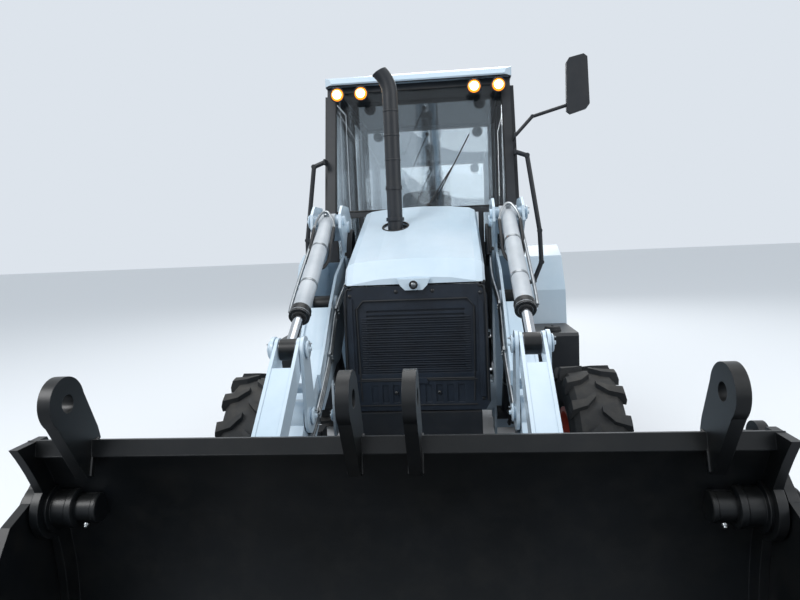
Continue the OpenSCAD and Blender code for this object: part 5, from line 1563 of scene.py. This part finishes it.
@dataclass
class Controls(Assembly):
    """Dials, lever boots, pedals and headliner inside the cab."""

    floor_z: float = 1124.0

    def build(self) -> None:
        """Adds the cab's controls, from the floor up to the roof's lining."""
        floor = self.floor_z
        pedals, boots, dials = Shape(), Shape(), Shape()
        for x in (150, 250, -150):
            pedals.block(at(x - 38, 985, floor + 110), at(x + 38, 1000, floor + 215), 4)
            pedals.tube(at_x(x, ((996, floor + 120), (965, floor + 60), (940, floor + 30))), 8, 8)
            for k in range(5):
                z = floor + 122 + 20 * k
                pedals.block(at(x - 32, 999, z), at(x + 32, 1003, z + 8), 1)
        self.shop.piece("pedals", LAMP_BODY, pedals)
        for s in Side:
            for x in (165, 255):
                boots.turned(
                    at(s * x, 2480, 1548), Z,
                    [(0, 34), (8, 34), (12, 26), (20, 30), (26, 22), (34, 26), (40, 18), (48, 20),
                     (54, 12), (60, 10)], 24,
                )
        boots.turned(
            at(300, 1180, floor), Z,
            [(0, 40), (10, 40), (16, 30), (26, 34), (34, 26), (44, 28), (52, 18), (60, 12)], 24,
        )
        self.shop.piece("lever_boots", RUBBER, boots)
        stick = [at(300, 1180, floor + 50), at(300, 1176, floor + 240), at(292, 1160, floor + 420)]
        lever = Shape().tube(smoothed(stick, 6), 8, 10)
        lever.turned(at(291, 1158, floor + 415), Vector((-0.04, -0.08, 1)),
                     [(0, 14), (20, 20), (60, 24), (84, 20), (96, 8)], 20)
        self.shop.piece("loader_lever", LAMP_BODY, lever)
        for x in (-110, 0, 110):
            dials.turned(at(x, 878, 1790), Vector((0, 0.35, 1)),
                         [(0, 40), (10, 40), (12, 36), (8, 33), (8, 0)], 28)
        self.shop.piece("dashboard_dials", LAMP_BODY, dials)
        lining = Shape().block(at(-590, 1080, 2878), at(590, 2590, 2888), 3.0)
        lining.block(at(-90, 1500, 2862), at(90, 1590, 2879), 4.0)
        self.shop.piece("headliner", TRIM, lining)


@dataclass
class DiggerTrim(Assembly):
    """Hard lines of the rear digger, and the lights and bolts behind."""

    # From the middle plane to the boom's cheeks
    boom_half: float = 92.0

    def build(self) -> None:
        """Adds the digger's and the rear end's small pieces."""
        self.boom_lines()
        self.rear_lights()
        self.frame_bolts()

    def boom_lines(self) -> None:
        """Clamps steel lines along both of the boom's cheeks, up to its head."""
        lines, clamps = Shape(), Shape()
        path = [(3690, 800), (3660, 1100), (3560, 1480), (3500, 1900), (3505, 2300), (3560, 2700),
                (3590, 2940)]
        for s in Side:
            x = s * (self.boom_half + 10)
            for shift in (-12, 12):
                lines.tube(smoothed(at_x(x, ((y + shift, z) for y, z in path)), 4), 7.5, 10)
            for y, z in path[1:-1]:
                clamps.block(at(x - 9, y - 30, z - 12), at(x + 9, y + 30, z + 12), 3.0)
                clamps.bolt(at(x + s * 9, y, z), X * s, 11, 6)
        self.shop.piece("boom_hard_lines", ZINC, lines, "boom")
        self.shop.piece("boom_line_clamps", CHARCOAL, clamps, "boom")

    def rear_lights(self) -> None:
        """Sets a red and an amber light in each rear fender's end."""
        bodies, red, amber = Shape(), Shape(), Shape()
        for s in Side:
            bodies.block(at(s * 880, 2826, 1330), at(s * 1010, 2866, 1400), 6.0)
            bodies.block(at(s * 930, 2800, 1345), at(s * 960, 2830, 1385), 2)
            for a, b, lens in ((886, 940, red), (950, 1004, amber)):
                lens.block(at(s * a, 2860, 1338), at(s * b, 2872, 1392), 4.0)
        self.shop.piece("rear_light_bodies", LAMP_BODY, bodies)
        self.shop.piece("rear_light_red", RED, red)
        self.shop.piece("rear_light_amber", UNLIT, amber)

    def frame_bolts(self) -> None:
        """Bolts the swing post's caps, and the stabilizer frame's corners."""
        bolts = Shape()
        for z, way in ((950, Z), (430, -Z)):
            for i in range(8):
                turn = math.pi * i / 4
                bolts.bolt(at(78 * math.cos(turn), SWING + 78 * math.sin(turn), z), way, 17, 9)
        for s in Side:
            for x, z in ((410, 500), (520, 590), (200, 1420), (300, 1180), (380, 900)):
                bolts.bolt(at(s * x, 3088, z), Y, 22, 12)
        self.shop.piece("stabilizer_frame_bolts", ZINC, bolts)


# The CAD nodes that each finish covers
NODE_FINISHES: dict[Finish, str] = {
    WHITE: "hood rear_fenders cab_roof loader_arms loader_towers tipping_levers tipping_links "
           "boom dipper hoe_idler hoe_link swing_post stabilizer_left stabilizer_right",
    BLACK: "bucket_back bucket_clam hoe_bucket",
    CHARCOAL: "chassis_frame front_axle rear_axle knuckle_left knuckle_right cab_frame "
              "door_left door_right cab_rails exhaust_stack lift_barrels clam_barrels "
              "boom_barrel dipper_barrel hoe_barrel stabilizer_barrel_left "
              "stabilizer_barrel_right",
    ORANGE: "front_rim_left front_rim_right rear_rim_left rear_rim_right",
    RUBBER: "front_tyre_left front_tyre_right rear_tyre_left rear_tyre_right",
    CHROME: "lift_rods tilt_rods clam_rods boom_rod dipper_rod hoe_rod stabilizer_rod_left "
            "stabilizer_rod_right",
    GLASS: "cab_glass door_left_glass door_right_glass",
    GREY: "tilt_barrels",
    CAST: "engine_block",
    GRILLE: "front_panels",
    LAMP_BODY: "work_lamps",
    TRIM: "cab_interior steering_wheel",
    CLOTH: "operator_seat",
}


@dataclass
class Studio:
    """The floor, the light and the camera at the photograph's angle."""

    # Camera's place and two of its directions, in the model's frame
    eye: tuple[float, float, float] = (0.221, -4.601, 1.738)
    right: tuple[float, float, float] = (0.9953, 0.0876, -0.0422)
    up: tuple[float, float, float] = (0.0335, 0.0987, 0.9945)
    lens_mm: float = 27.0
    floor_size: float = 120.0
    # What the lights point at, and each one's place, width in metres and power in watts
    aim: tuple[float, float, float] = (0.0, 0.0, 1.2)
    lights: tuple[tuple[str, tuple[float, float, float], float, float], ...] = (
        ("key_light", (-5.5, -7.0, 7.5), 5.0, 440.0),
        ("fill_light", (7.0, -5.0, 5.0), 6.0, 180.0),
        ("back_light", (1.0, 9.0, 7.0), 6.0, 300.0),
        ("top_light", (0.0, 0.5, 9.0), 7.0, 200.0),
    )

    def build(self) -> None:
        """Makes the stage."""
        self.place_camera()
        self.lay_floor()
        self.light_sky()
        self.hang_lights()
        bpy.context.scene.view_settings.view_transform = "Standard"
        log.info("studio ready, lens %.0f mm", self.lens_mm)

    @staticmethod
    def put(name: str, data: bpy.types.ID) -> bpy.types.Object:
        """Makes an object and links it to the scene.

        Args:
            name: Its name.
            data: What it is made of.

        Returns:
            The new object.
        """
        made = bpy.data.objects.new(name, data)
        bpy.context.scene.collection.objects.link(made)
        return made

    def place_camera(self) -> None:
        """Sets the camera where the photograph was taken from."""
        data = bpy.data.cameras.new("camera")
        data.sensor_width, data.lens = 36.0, self.lens_mm
        data.clip_start, data.clip_end = 0.05, 300.0
        camera = self.put("camera", data)
        right, up = Vector(self.right).normalized(), Vector(self.up)
        up = (up - right * up.dot(right)).normalized()
        turn = Matrix((right, up, right.cross(up))).transposed().to_4x4()
        camera.matrix_world = Matrix.Translation(Vector(self.eye)) @ turn
        bpy.context.scene.camera = camera

    def lay_floor(self) -> None:
        """Lays a pale floor under the wheels, white where only the camera looks."""
        mesh, half = bmesh.new(), self.floor_size / 2
        mesh.faces.new([mesh.verts.new((x, y, 0)) for x, y in oblong(-half, half, -half, half)])
        data = bpy.data.meshes.new("floor")
        mesh.to_mesh(data)
        mesh.free()
        material = bpy.data.materials.new("pale_floor")
        tree = emptied(material)
        pale, dull = (
            add_node(tree, "BsdfPrincipled", "BSDF", {
                "Base Color": linear(hex_code), "Roughness": 0.85})
            for hex_code in ("e4e7ea", "83878c")
        )
        # The machine sees duller ground than the camera does, as it would outdoors
        seen = add_node(tree, "LightPath", "Is Camera Ray")
        surface = add_node(tree, "MixShader", 0, {0: seen, 1: dull, 2: pale})
        add_node(tree, "OutputMaterial", None, {"Surface": surface})
        data.materials.append(material)
        self.put("floor", data)

    def light_sky(self) -> None:
        """Lights the machine softly from all round, under a sky that is seen a little paler."""
        world = bpy.data.worlds.new("studio_sky")
        bpy.context.scene.world = world
        tree = emptied(world)
        camera, glass = (
            add_node(tree, "LightPath", f"Is {ray} Ray") for ray in ("Camera", "Transmission")
        )
        seen = add_node(tree, "Math", 0, {0: camera, 1: glass}, operation="MAXIMUM")
        ambient, shown = (
            add_node(tree, "Background", 0, {"Color": linear(hex_code), "Strength": strength})
            for hex_code, strength in (("e6edf4", 0.85), ("dde4ec", 1.0))
        )
        blend = add_node(tree, "MixShader", 0, {0: seen, 1: ambient, 2: shown})
        add_node(tree, "OutputWorld", None, {"Surface": blend})

    def hang_lights(self) -> None:
        """Hangs round lamps about the machine: a key from the front left, fill, back and top."""
        for name, place, size, power in self.lights:
            data = bpy.data.lights.new(name, "AREA")
            data.shape, data.size, data.energy = "DISK", size, power
            lamp = self.put(name, data)
            lamp.location = place
            way = Vector(self.aim) - Vector(place)
            lamp.rotation_euler = way.to_track_quat("-Z", "Y").to_euler()


def main() -> None:
    """Builds the stage, then each sub-assembly, and reports each piece."""
    Studio().build()
    shop = Workshop()
    for finish, nodes in NODE_FINISHES.items():
        for node in nodes.split():
            shop.dress(node, finish)
    kinds = (GrilleTrim, HoodTrim, Lamps, CabTrim, Seat, Controls, ArmPlumbing, BucketTrim,
             DiggerTrim)
    for part in (*(kind(shop) for kind in kinds), *wheels(shop), *rams(shop)):
        part.build()
    pins(shop)


if __name__ == "__main__":
    logging.basicConfig(level=logging.INFO, format="%(message)s")
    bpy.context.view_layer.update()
    main()
